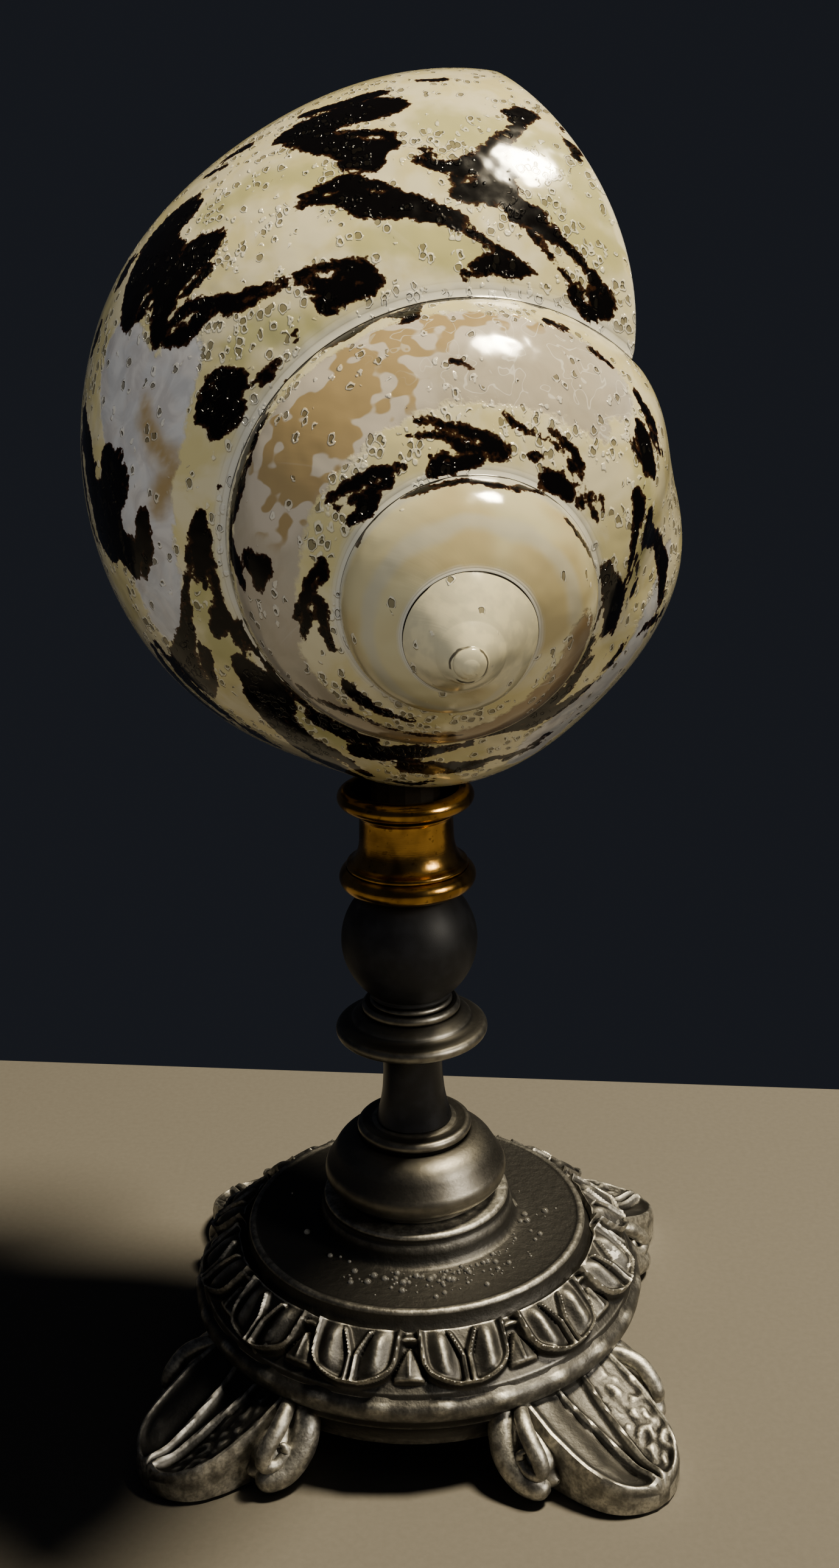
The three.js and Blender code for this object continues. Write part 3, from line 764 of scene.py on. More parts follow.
SPIRE_FLAMES: dict[str, tuple[Stroke, ...]] = {
    "beside the outer suture": (
        ((402, 0.97, 0.6), (395, 0.95, 1.5), (390, 0.96, 1.1), (386, 0.98, 0.7)),
        ((384, 0.93, 0.9), (381, 0.90, 1.5), (379, 0.95, 1.1), (376, 0.99, 0.5)),
        ((386, 0.84, 0.5), (382, 0.85, 0.9)),
        ((422, 0.91, 0.6), (428, 0.90, 0.9), (438, 0.90, 1.0), (450, 0.86, 0.9), (456, 0.84, 0.9),
         (462, 0.78, 1.2), (468, 0.71, 1.1)),
        ((462, 0.96, 0.7), (468, 0.88, 0.7), (471, 0.95, 0.4)),
        ((462, 0.60, 0.9), (466, 0.47, 0.9), (470, 0.45, 1.0), (473, 0.52, 1.0)),
        ((385, 0.53, 0.3), (382, 0.52, 0.6), (381, 0.46, 0.3)),
        ((352, 0.81, 0.4), (347, 0.82, 0.6)),
        ((422, 0.95, 0.8), (435, 0.90, 1.2), (446, 0.86, 1.2)),
        ((449, 0.84, 0.8), (456, 0.84, 0.9), (464, 0.74, 1.6), (470, 0.68, 0.9)),
        ((463, 0.63, 1.3), (468, 0.52, 1.9), (472, 0.54, 1.1)),
        ((412, 0.99, 0.3), (423, 0.90, 0.5), (436, 0.82, 0.7), (446, 0.80, 0.8), (454, 0.83, 0.5),
         (462, 0.88, 0.6), (472, 0.90, 0.7), (481, 0.86, 0.6)),
        ((489, 0.88, 1.0), (502, 0.76, 0.5)),
    ),
    "flames over the inner suture": (
        ((407, 0.28, 0.4), (401, 0.25, 0.6), (396, 0.21, 0.8), (386, 0.14, 1.1), (384, 0.10, 1.0)),
        ((412, 0.24, 0.3), (406, 0.22, 0.5), (398, 0.15, 0.4)),
        ((401, 0.12, 0.8), (389, 0.11, 0.9)),
        ((412, 0.07, 1.0), (412, 0.04, 1.4), (400, 0.06, 1.3), (393, 0.08, 0.9)),
        ((379, 0.29, 0.3), (378, 0.23, 0.5), (371, 0.23, 0.4), (362, 0.21, 0.4), (354, 0.17, 0.3)),
        ((368, 0.06, 0.8), (363, 0.06, 1.6), (357, 0.06, 1.0)),
        ((351, 0.07, 0.7),),
        ((347, 0.12, 0.5), (340, 0.09, 0.4)),
        ((352, 0.16, 0.4), (340, 0.13, 0.3)),
        ((448, 0.24, 0.4), (441, 0.21, 0.9), (432, 0.16, 1.1), (422, 0.12, 0.4)),
        ((449, 0.18, 0.3), (441, 0.11, 0.9), (436, 0.10, 1.1)),
        ((443, 0.09, 0.9), (450, 0.08, 0.7)),
        ((426, 0.12, 0.8), (432, 0.09, 0.9)),
        ((452, 0.09, 0.7), (447, 0.05, 1.0), (438, 0.07, 0.8)),
        ((406, 0.29, 0.7), (402, 0.27, 0.7)),
        ((410, 0.23, 0.4), (406, 0.21, 0.7), (402, 0.18, 0.9), (400, 0.13, 0.8)),
        ((412, 0.10, 0.6), (406, 0.10, 0.6)),
        ((416, 0.03, 0.8), (411, 0.02, 0.8), (405, 0.02, 0.6)),
        ((368, 0.07, 1.3), (362, 0.09, 1.3), (356, 0.07, 1.2)),
        ((354, 0.12, 0.3), (351, 0.10, 0.6), (349, 0.07, 0.7)),
        ((392, 0.07, 0.5), (385, 0.08, 0.5)),
        ((374, 0.12, 0.6), (370, 0.14, 0.6)),
        ((365, 0.26, 0.4), (360, 0.25, 0.7), (354, 0.22, 0.6), (352, 0.20, 0.4)),
        ((378, 0.28, 0.4), (378, 0.23, 0.5), (372, 0.22, 0.4), (368, 0.21, 0.5), (364, 0.22, 0.3)),
        ((359, 0.20, 0.5), (356, 0.16, 0.5)),
        ((348, 0.12, 0.7), (344, 0.10, 0.6), (340, 0.09, 0.5)),
        ((342, 0.17, 0.4), (338, 0.14, 0.4)),
    ),
    "left of the inner suture": (
        ((472, 0.12, 0.7), (477, 0.10, 0.8), (484, 0.18, 0.7), (492, 0.26, 0.3)),
        ((488, 0.12, 1.0), (495, 0.11, 0.9), (508, 0.12, 0.4)),
        ((492, 0.18, 0.6), (500, 0.26, 0.3)),
        ((526, 0.17, 0.7), (532, 0.20, 1.3), (545, 0.20, 1.0), (562, 0.18, 0.6)),
        ((473, 0.14, 0.9), (480, 0.18, 1.0), (486, 0.22, 0.9), (490, 0.28, 0.7)),
        ((486, 0.14, 0.9), (492, 0.10, 1.0), (503, 0.11, 0.9), (511, 0.10, 0.6)),
        ((490, 0.21, 0.9), (498, 0.26, 0.6)),
        ((508, 0.59, 0.9), (514, 0.56, 0.6), (522, 0.47, 0.8), (532, 0.38, 0.7), (543, 0.37, 0.5),
         (560, 0.37, 0.5), (577, 0.40, 0.4)),
    ),
    "line along the inner suture": (
        ((738, 0.90, 0.7), (730, 0.90, 0.5), (724, 0.86, 0.5), (716, 0.83, 0.6), (704, 0.90, 0.5),
         (695, 0.95, 0.4)),
        ((684, 0.85, 0.4), (676, 0.81, 0.5), (668, 0.83, 0.7), (656, 0.89, 0.6)),
        ((757, 0.96, 0.3), (750, 0.93, 0.8), (744, 0.90, 0.7), (736, 0.88, 0.6), (725, 0.88, 0.6),
         (719, 0.83, 0.7), (709, 0.84, 0.6)),
        ((702, 0.90, 0.4), (694, 0.96, 0.6)),
        ((786, 0.93, 0.6), (780, 0.96, 0.3)),
    ),
}

# Where the outer layer is ground away and the pearly one shows
GROUND_ZONES: tuple[Stroke, ...] = (
    ((84, 0.62, 6.0), (92, 0.52, 8.0), (102, 0.42, 7.5), (114, 0.36, 6.5), (128, 0.34, 6.0),
     (138, 0.36, 4.5)),
    ((86, 0.36, 4.0), (96, 0.34, 5.0), (106, 0.30, 4.0)),
    ((338, 0.60, 4.0), (346, 0.60, 6.0), (358, 0.60, 6.6), (372, 0.62, 6.4), (386, 0.64, 6.2),
     (400, 0.64, 6.0), (415, 0.64, 6.4), (430, 0.62, 6.4), (446, 0.60, 6.0), (462, 0.58, 5.6),
     (478, 0.56, 5.4), (494, 0.55, 5.0), (510, 0.55, 5.0), (530, 0.56, 4.6), (550, 0.55, 4.4),
     (575, 0.5, 4.0), (600, 0.45, 3.8), (625, 0.45, 3.5), (645, 0.5, 3.0)),
    ((345, 0.40, 2.0), (357, 0.42, 3.0), (372, 0.44, 4.0), (390, 0.46, 4.0), (410, 0.44, 4.0),
     (430, 0.44, 4.4), (450, 0.42, 4.0), (470, 0.38, 3.4), (490, 0.40, 3.4)),
    ((290, 0.62, 1.5), (278, 0.44, 2.4), (268, 0.36, 3.4), (256, 0.34, 4.6), (244, 0.36, 4.6),
     (234, 0.42, 3.4)),
)

# Soft yellowish patches of the cream, and tan patches of the pearl
OLIVE_PATCHES: tuple[Stroke, ...] = (
    ((56, 0.66, 2.6), (46, 0.66, 2.4), (42, 0.52, 3.0), (44, 0.42, 3.0)),
    ((50, 0.24, 2.2), (44, 0.22, 3.2), (38, 0.14, 3.2), (33, 0.14, 1.8)),
    ((84, 0.20, 1.6), (77, 0.15, 2.6), (74, 0.06, 1.6)),
    ((14, 0.32, 2.4), (10, 0.26, 3.4), (4, 0.24, 3.0)),
    ((20, 0.64, 3.4), (14, 0.54, 4.0), (4, 0.50, 4.0), (2, 0.36, 3.4)),
    ((132, 0.08, 1.2), (142, 0.14, 2.2), (152, 0.16, 2.8), (162, 0.14, 2.0)),
    ((180, 0.10, 1.8), (192, 0.14, 2.2), (204, 0.12, 1.4)),
    ((305, 0.30, 2.0), (318, 0.36, 2.4), (326, 0.44, 2.0)),
)
TAN_PATCHES: tuple[Stroke, ...] = (
    ((356, 0.80, 2.2), (368, 0.78, 3.4), (380, 0.74, 4.4), (394, 0.68, 6.0), (410, 0.60, 7.5),
     (428, 0.56, 8.0), (444, 0.50, 6.5), (454, 0.40, 3.0)),
    ((400, 0.44, 3.0), (414, 0.40, 3.5), (430, 0.36, 3.0)),
    ((94, 0.42, 0.6), (98, 0.39, 1.4), (106, 0.29, 1.5), (110, 0.22, 1.5), (117, 0.28, 1.2)),
)


@dataclass(frozen=True)
class BaseFlames:
    """Black flames over the base and the back of the body whorl, which the photograph doesn't show."""

    count: int = 25
    seed: int = 11
    knots: int = 7
    span: tuple[float, float] = (4, 318)
    stray: float = 3.0
    start_stray: float = 0.10
    ends: tuple[float, float] = (1.30, 1.70)
    swing: tuple[float, float] = (1.5, 5.5)
    half_width: tuple[float, float] = (2.2, 3.8)
    thin: float = 0.7
    uneven: tuple[float, float] = (0.55, 1.25)
    split_share: float = 0.5
    split_gap: tuple[float, float] = (4, 7)
    edge_back: tuple[float, ...] = (0, 80, 100, 144, 160, 240, 264, 300, 324)
    edge_place: tuple[float, ...] = (1.10, 1.10, 1.04, 0.74, 0.66, 0.64, 0.82, 1.00, 1.10)

    def strokes(self) -> tuple[Stroke, ...]:
        """Zigzag flames from the edge of what the photograph shows towards the umbilicus.

        Returns:
            The strokes.
        """
        rng = np.random.default_rng(self.seed)
        made = []
        for back in np.linspace(*self.span, self.count) + rng.uniform(-self.stray, self.stray, self.count):
            start = np.interp(back, self.edge_back, self.edge_place) + rng.uniform(0.0, self.start_stray)
            places = np.linspace(start, rng.uniform(*self.ends), self.knots)
            swing = rng.uniform(*self.swing, self.knots) * (-1) ** np.arange(self.knots)
            widths = np.linspace(rng.uniform(*self.half_width), self.thin, self.knots)
            widths = widths * rng.uniform(*self.uneven, self.knots)
            made.append(tuple(zip(back + swing, places, widths)))
            if rng.random() < self.split_share:
                side = back + rng.uniform(*self.split_gap)
                made.append(((side, start + 0.16, 0.7), (side - 3, start + 0.25, 1.7),
                             (side - 5, start + 0.34, 1.0)))
        return tuple(made)


@dataclass
class Shell:
    """The shell: one closed skin with its spire, body whorl, open mouth and umbilicus."""

    form: Spiral = field(default_factory=Spiral)
    wall: float = 3.0
    lip_wall: float = 0.9
    lip_bulge: float = 0.9
    lip_lines: int = 6
    callus: float = 0.7
    umbilicus_tuck: float = 0.28
    tip_drop: float = 0.15
    umbilicus_drop: float = 46.0
    lap_lines: int = 210
    laps: float = 6.3
    spire_places: int = 42
    base_places: int = 56
    hollow_lines: int = 168
    mark_reach: tuple[float, float] = (-6.0, 12.0)
    mark_steps: int = 14
    mark_span: float = 60.0

    def build(self) -> Piece:
        """Makes the shell and its marks.

        Returns:
            The shell's piece.
        """
        bm = bmesh.new()
        layers = {name: bm.verts.layers.float.new(name) for name in ("back", "place")}
        chart = bm.loops.layers.uv.new("growth")
        step = self.form.lap / self.lap_lines
        for first, lines, places in ((Place.SUTURE, round(self.laps * self.lap_lines), self.spire_places),
                                     (Place.SEAM, self.lap_lines, self.base_places)):
            made, i, j = sheet_of(bm, lines, places)
            back, place = i * step, first.value + j / places
            self._lay(made, layers, chart, self.form.point(back, place), back, place)
        self._hollow(bm, layers, chart, step)
        bmesh.ops.remove_doubles(bm, verts=bm.verts, dist=SEAM_WELD)
        self._close(bm, layers, chart)
        bmesh.ops.recalc_face_normals(bm, faces=bm.faces)
        back = np.array([v[layers["back"]] for v in bm.verts])
        place = np.array([v[layers["place"]] for v in bm.verts])
        spots = np.array([v.co for v in bm.verts])
        shell = finish_mesh(bm, "polished_shell", crease=70.0)
        for name, marks in (("black_mark", self._flames()), ("ground", GROUND_ZONES),
                            ("olive_patch", OLIVE_PATCHES), ("tan_patch", TAN_PATCHES)):
            depth = self._depth(spots, back, place, marks)
            values = shell.data.attributes.new(name, "FLOAT", "POINT").data
            values.foreach_set("value", depth.astype(np.float32))
        shell.data.materials.append(ShellFinish().material())
        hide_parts("shell")
        return shell

    @staticmethod
    def _lay(made: list, layers: dict, chart: object, spots: np.ndarray, back: np.ndarray,
             place: np.ndarray) -> None:
        """Puts a grid's vertices in place and charts its faces by growth and place.

        Args:
            made: The grid's vertices.
            layers: The mesh's layers of growth and place.
            chart: Its UV layer.
            spots: Where the vertices go, in metres.
            back: Each one's growth.
            place: Each one's place.
        """
        where = {}
        for vert, spot, b, p in zip(made, spots, back, place):
            vert.co = spot
            vert[layers["back"]] = b
            vert[layers["place"]] = p
            where[vert] = (b / 360, p)
        for face in {f for v in made for f in v.link_faces}:
            for loop in face.loops:
                loop[chart].uv = where[loop.vert]

    def _hollow(self, bm: Solid, layers: dict, chart: object, step: float) -> None:
        """Adds the lip's rounded rim and the hollow behind it.

        Args:
            bm: The shell's mesh.
            layers: Its layers of growth and place.
            chart: Its UV layer.
            step: Degrees of growth from one line to the next.
        """
        rim, outer = self.lip_lines, self.spire_places + self.base_places
        around = outer + 1 + self.base_places
        made, i, j = sheet_of(bm, around, self.hollow_lines)
        i = np.where(i == around, 0, i)
        outside = i <= outer
        turned_in = np.minimum(1, j / rim)
        deeper = np.maximum(0, j - rim)
        place = np.where(i <= self.spire_places, i / self.spire_places,
                         Place.SEAM.value + (i - self.spire_places) / self.base_places)
        under = Place.SEAM.value + (around - i) / self.base_places * (1 - self.umbilicus_tuck * turned_in)
        thick = self.lip_wall + (1 - self.lip_wall) * np.minimum(1, deeper / rim)
        thick = np.where(j < rim, self.lip_wall * (1 - np.cos(turned_in * math.pi)) / 2, thick)
        inset = np.where(outside, self.wall * thick, -self.callus * turned_in)
        bulge = -self.lip_bulge * np.sin(turned_in * math.pi) * (place > 0.02)
        back = np.where(j < rim, bulge, deeper * step)
        back = np.where(outside, back, self.form.lap + deeper * step)
        spots = self.form.point(back, np.where(outside, place, under), inset)
        lined = Place.MOUTH.value + np.where(j < 2, -4 + place, j / self.hollow_lines)
        self._lay(made, layers, chart, spots, back, lined)

    def _close(self, bm: Solid, layers: dict, chart: object) -> None:
        """Closes the tip, the umbilicus and the hollow's far end.

        Args:
            bm: The shell's mesh.
            layers: Its layers of growth and place.
            chart: Its UV layer.
        """
        caps = bmesh.ops.holes_fill(bm, edges=open_edges(bm), sides=0)["faces"]
        LOG.info("shell has %d ends to close", len(caps))
        for cap in caps:
            middle = cap.calc_center_median()
            hubs = bmesh.ops.poke(bm, faces=[cap])
            hub = hubs["verts"][0]
            ring = [v for f in hubs["faces"] for v in f.verts if v is not hub]
            for layer in layers.values():
                hub[layer] = ring[0][layer]
            places = [v[layers["place"]] for v in ring]
            if (middle - self.form.on_axis(0)).length < 10 * MM:
                hub.co = self.form.on_axis(self.tip_drop)
            elif min(places) > 1.5 and max(places) < 2.5:
                hub.co = self.form.on_axis(self.umbilicus_drop)
            for face in hubs["faces"]:
                for loop in face.loops:
                    loop[chart].uv = (loop.vert[layers["back"]] / 360, loop.vert[layers["place"]])

    @staticmethod
    def _flames() -> tuple[Stroke, ...]:
        """Every black mark of the shell."""
        groups = (*BODY_FLAMES.values(), *SPIRE_FLAMES.values())
        return tuple(stroke for group in groups for stroke in group) + BaseFlames().strokes()

    def _depth(self, spots: np.ndarray, back: np.ndarray, place: np.ndarray,
               strokes: tuple[Stroke, ...]) -> np.ndarray:
        """How deep inside the nearest mark each vertex lies, in millimetres, negative outside every mark.

        Args:
            spots: Vertex positions in metres.
            back: Each vertex's growth line.
            place: Each vertex's place.
            strokes: The marks.

        Returns:
            One depth a vertex, within the marks' reach.
        """
        outermost, innermost = self.mark_reach
        depth = np.full(len(spots), outermost)
        for stroke in strokes:
            knots = np.array(stroke if len(stroke) > 1 else stroke * 2, float)
            share = np.linspace(0, len(knots) - 1, self.mark_steps * (len(knots) - 1) + 1)
            run = np.stack([np.interp(share, range(len(knots)), knots[:, k]) for k in range(3)], -1)
            centres = self.form.point(run[:, 0], run[:, 1])
            middle = centres.mean(0)
            size = np.linalg.norm(centres - middle, axis=1).max() + (run[:, 2].max() - outermost) * MM
            near = (place >= Place.SUTURE.value) & (place <= Place.UMBILICUS.value)
            near &= np.linalg.norm(spots - middle, axis=1) < size
            near &= (back > run[:, 0].min() - self.mark_span) & (back < run[:, 0].max() + self.mark_span)
            gaps = np.linalg.norm(spots[near][:, None] - centres[None], axis=-1) / MM
            depth[near] = np.maximum(depth[near], (run[:, 2] - gaps).max(1))
        return np.clip(depth, outermost, innermost)


class ShellNodes(Nodes):
    """The shell's nodes, with the growth, place and streaks that its marks follow."""

    def __init__(self, name: str, stretch: Colour = (150.0, 1.2, 0.0)) -> None:
        """Starts the material.

        Args:
            name: The material's name.
            stretch: Streaks to a turn of growth and to the width of a whorl.
        """
        super().__init__(name)
        chart = self.add("UVMap", uv_map="growth").outputs[0]
        split = self.add("SeparateXYZ", chart)
        self.growth, self.place = split.outputs[0], split.outputs[1]
        drawn = self.add("VectorMath", chart, stretch, operation="MULTIPLY").outputs[0]
        self.streak = self.noise(1.0, 3.0, 0.5, 0.3, drawn)


@dataclass(frozen=True)
class ShellFinish:
    """Glossy cream porcelain with black flames, over pale pearl where the shell is ground down.

    Sizes and reliefs are in millimetres. The spans named after a colour or a line say where along the growth,
    in turns back from the lip, it comes in or goes out.
    """

    cream: Colour = (0.63, 0.56, 0.315)
    white: Colour = (0.69, 0.63, 0.44)
    olive: Colour = (0.46, 0.43, 0.21)
    black: Colour = (0.006, 0.005, 0.005)
    umber: Colour = (0.060, 0.028, 0.014)
    pearl: Colour = (0.50, 0.48, 0.47)
    pearl_light: Colour = (0.64, 0.62, 0.60)
    pearl_blue: Colour = (0.50, 0.55, 0.60)
    warm_pearl: Colour = (0.43, 0.365, 0.25)
    warm_span: tuple[float, float] = (0.85, 0.98)
    tan: Colour = (0.39, 0.295, 0.16)
    speckle: Colour = (0.56, 0.50, 0.41)
    speckle_span: tuple[float, float] = (0.4, 0.5)
    map_line: Colour = (0.78, 0.75, 0.66)
    map_in: tuple[float, float] = (0.88, 0.92)
    map_out: tuple[float, float] = (1.12, 1.06)
    brown: Colour = (0.30, 0.21, 0.11)
    brown_span: tuple[float, float] = (1.40, 1.60)
    gold: Colour = (0.50, 0.42, 0.24)
    gold_pale: Colour = (0.58, 0.53, 0.35)
    gold_span: tuple[float, float] = (1.80, 1.84)
    haze: Colour = (0.51, 0.49, 0.40)
    apex: Colour = (0.60, 0.555, 0.40)
    apex_span: tuple[float, float] = (2.68, 2.74)
    ridge_dark: Colour = (0.50, 0.485, 0.44)
    ridge_light: Colour = (0.64, 0.63, 0.58)
    ridge_out: tuple[float, float] = (2.66, 2.5)
    ridge_lines: float = 130.0
    line: Colour = (0.02, 0.017, 0.014)
    line_in: tuple[float, float] = (0.86, 0.9)
    line_out: tuple[float, float] = (3.62, 3.58)
    line_again: tuple[float, float] = (4.5, 4.6)
    # painted shade inside each pit
    pit: Colour = (0.17, 0.145, 0.09)
    # painted highlight on each pit's rim
    pit_rim_highlight: Colour = (0.76, 0.73, 0.63)
    pit_size: float = 0.37
    pit_cells: float = 0.66
    pit_stretch: Colour = (1.2, 1.0, 0.8)
    tip_line: Colour = (0.05, 0.042, 0.035)
    tip_ring: float = 3.4
    lining: Colour = (0.50, 0.49, 0.48)
    lining_light: Colour = (0.68, 0.65, 0.61)
    ground_relief: float = -0.07
    pit_relief: float = 0.13
    streak_relief: float = 0.010
    wave_relief: float = 0.30
    ridge_relief: float = 0.025

    def pits(self, n: ShellNodes, crowd: Socket) -> tuple[Socket, Socket]:
        """Small round pits and the rims about them, as masks for their relief, for the painted shade inside
        the pits and for the painted highlight on their rims.

        Args:
            n: The material's nodes.
            crowd: Share of the cells that hold a pit.

        Returns:
            The pit's mask and its rim's.
        """
        cells = n.add("TexVoronoi", feature="F1", distance="EUCLIDEAN")
        n.put(cells.inputs["Vector"], n.millimetres(self.pit_stretch))
        n.put(cells.inputs["Scale"], self.pit_cells)
        kept = n.math("LESS_THAN", n.add("SeparateColor", cells.outputs["Color"]).outputs[0], crowd)
        size = n.times(n.ramp(n.noise(0.9, 1.0), 0.3, 0.7, 0.6, 1.25), self.pit_size)
        past = n.less(cells.outputs["Distance"], size)
        pit = n.times(n.ramp(past, 0.0, -0.08), kept)
        rim = n.times(n.ramp(past, 0.20, 0.08), kept)
        return pit, n.less(rim, pit, clamp=True)

    def porcelain(self, n: ShellNodes) -> Socket:
        """Cream, clouded white, with soft olive patches.

        Args:
            n: The material's nodes.

        Returns:
            The colour.
        """
        cream = n.mix(n.ramp(n.noise(0.13, 3.0, 0.55, 0.5), 0.40, 0.62), self.cream, self.white)
        soft = n.plus(n.attribute("olive_patch"), n.sway(0.3, 2.0, 5.0))
        cream = n.mix(n.times(n.ramp(soft, -2.2, 1.8), 0.85), cream, self.olive)
        return n.mix(n.ramp(n.streak, 0.60, 0.8, 0.0, 0.22), cream, self.white)

    def nacre(self, n: ShellNodes) -> Socket:
        """Pearl, with tan where it is thicker, pale speckles on the tan, and brown further up the spire.

        Args:
            n: The material's nodes.

        Returns:
            The colour.
        """
        pearl = n.mix(n.ramp(n.noise(0.16, 3.0, 0.6, 1.2), 0.35, 0.65), self.pearl, self.pearl_light)
        tint = n.ramp(n.noise(0.10, 2.0, 0.5, 2.0), 0.42, 0.60)
        pearl = n.mix(n.times(tint, 0.25), pearl, self.pearl_blue)
        pearl = n.mix(n.ramp(n.growth, *self.warm_span, 0.0, 0.75), pearl, self.warm_pearl)
        tan = n.attribute("tan_patch")
        # islands of pearl in the tan, crowded near its edges
        blobs = n.times(n.noise(0.36, 0.6, 0.4, where=n.millimetres((0.9, 1.0, 1.1))), 22.0)
        islands = n.times(n.ramp(n.less(blobs, tan), 8.2, 9.6), n.ramp(n.growth, *self.speckle_span))
        warm = n.ramp(n.plus(tan, n.sway(0.30, 2.0, 3.0)), -2.0, 1.6)
        nacre = n.mix(warm, pearl, n.mix(islands, self.tan, self.speckle))
        # one pale contour, as a coast on a map
        coast = n.ramp(n.math("ABSOLUTE", n.less(n.noise(0.30, 1.0, 0.5, 0.6), 0.55)), 0.016, 0.006)
        coast = n.times(coast, n.ramp(n.growth, *self.map_in), n.ramp(n.growth, *self.map_out))
        nacre = n.mix(n.times(coast, 0.5), nacre, self.map_line)
        late = n.times(n.ramp(n.growth, *self.brown_span), n.ramp(n.noise(0.14, 2.0), 0.3, 0.6, 0.7, 1.0))
        nacre = n.mix(n.times(late, 0.92), nacre, self.brown)
        return n.mix(n.ramp(n.streak, 0.64, 0.78, 0.0, 0.3), nacre, self.pearl_light)

    def spire(self, n: ShellNodes) -> Socket:
        """Golden inner whorl with hazy bands along the sutures, and the cream cone of the tip.

        Args:
            n: The material's nodes.

        Returns:
            The colour.
        """
        drift = n.plus(n.place, n.sway(0.16, 2.0, 0.16))
        gold = n.mix(n.ramp(n.noise(0.07, 1.0, 0.5, 0.6), 0.36, 0.64), self.gold, self.gold_pale)
        band = n.times(n.ramp(drift, 0.28, 0.38), n.ramp(drift, 0.54, 0.44), 0.65)
        gold = n.mix(band, gold, self.haze)
        gold = n.mix(n.ramp(drift, 0.80, 0.92), gold, self.haze)
        cone = n.mix(n.ramp(n.noise(0.4, 2.0), 0.42, 0.62), self.apex, self.white)
        return n.mix(n.ramp(n.growth, *self.apex_span), gold, cone)

    def suture_line(self, n: ShellNodes) -> Socket:
        """Mask of the dark line in the suture, which is uneven in width and breaks off twice.

        Args:
            n: The material's nodes.

        Returns:
            The mask.
        """
        thin = n.ramp(n.noise(0.16, 1.0), 0.40, 0.60, 0.985, 0.958)
        inside = n.times(n.math("GREATER_THAN", n.place, thin), n.math("LESS_THAN", n.place, 1.004))
        outer = n.times(n.ramp(n.growth, *self.line_in), n.ramp(n.growth, *self.line_out))
        return n.times(inside, n.math("MAXIMUM", outer, n.times(n.ramp(n.growth, *self.line_again), 0.7)))

    def tip_circle(self, n: ShellNodes) -> Socket:
        """Mask of the broken dark ring round the tip.

        Args:
            n: The material's nodes.

        Returns:
            The mask.
        """
        tip = tuple(v / MM for v in Spiral().on_axis(0))
        away = n.add("VectorMath", n.mm, tip, operation="DISTANCE").outputs["Value"]
        off = n.math("ABSOLUTE", n.less(n.plus(away, n.sway(0.5, 2.0, 0.8)), self.tip_ring))
        return n.times(n.ramp(off, 0.26, 0.12), n.ramp(n.noise(0.4, 1.0), 0.38, 0.46))

    def material(self) -> bpy.types.Material:
        """Builds the shell's material.

        Returns:
            The material.
        """
        n = ShellNodes("polished shell")
        # wandering edges, with a finer tooth on them
        wander, tooth = n.sway(0.55, 3.0, 2.2, 0.6), n.sway(1.5, 1.0, 0.6)
        torn = n.plus(n.attribute("black_mark"), wander, tooth)
        black = n.ramp(torn, -0.10, 0.10)
        pearl = n.ramp(n.plus(n.attribute("ground"), n.times(wander, 1.5), tooth), -0.5, 0.5)
        inner = n.ramp(n.growth, *self.gold_span)
        surface = n.mix(inner, n.mix(pearl, self.porcelain(n), self.nacre(n)), self.spire(n))
        # pits, crowded in some places and few on the pearl and the inner whorls, with a painted highlight on
        # their rims
        crowd = n.ramp(n.noise(0.11, 2.0, 0.6), 0.42, 0.60, 0.10, 0.85)
        pit, rim = self.pits(n, n.times(crowd, n.rest(pearl, 0.7), n.rest(inner, 0.93)))
        surface = n.mix(n.times(rim, 0.55), surface, self.pit_rim_highlight)
        # black, brown and translucent at its edges
        surface = n.mix(black, surface, n.mix(n.ramp(torn, 0.0, 0.5), self.umber, self.black))
        # painted shade inside the pits, less over the black
        surface = n.mix(n.times(pit, n.less(0.75, n.times(black, 0.7))), surface, self.pit)
        # a hazy ridge with fine lines under each suture, and a dark line in it
        ragged = n.plus(n.place, n.sway(0.35, 2.0, 0.05))
        raised = n.times(n.ramp(ragged, 0.075, 0.010), n.ramp(n.growth, *self.ridge_out))
        fine = n.math("ABSOLUTE", n.math("SINE", n.times(n.place, self.ridge_lines)))
        tone = n.mix(n.ramp(fine, 0.05, 0.5), self.ridge_dark, self.ridge_light)
        surface = n.mix(n.times(raised, n.rest(black), 0.75), surface, tone)
        surface = n.mix(self.suture_line(n), surface, self.line)
        surface = n.mix(n.times(self.tip_circle(n), 0.85), surface, self.tip_line)
        # the mouth's inside is plain pearl
        mouth = n.math("GREATER_THAN", n.place, (Place.UMBILICUS.value + Place.MOUTH.value) / 2)
        lining = n.mix(n.ramp(n.noise(0.12, 3.0, 0.5, 1.5), 0.35, 0.65), self.lining, self.lining_light)
        relief = n.plus(n.times(pearl, self.ground_relief),
                        n.times(n.less(rim, n.times(pit, 2.5)), self.pit_relief),
                        n.times(n.streak, self.streak_relief), n.times(n.noise(0.22, 1.0), self.wave_relief),
                        n.times(raised, fine, self.ridge_relief))
        return n.finish(Base_Color=n.mix(mouth, surface, lining),
                        Roughness=n.plus(0.10, n.times(n.noise(0.8, 3.0), 0.10)),
                        Normal=n.bump(n.times(relief, n.rest(mouth))),
                        Coat_Weight=0.4, Coat_Roughness=0.09, IOR=1.48)


# The stand


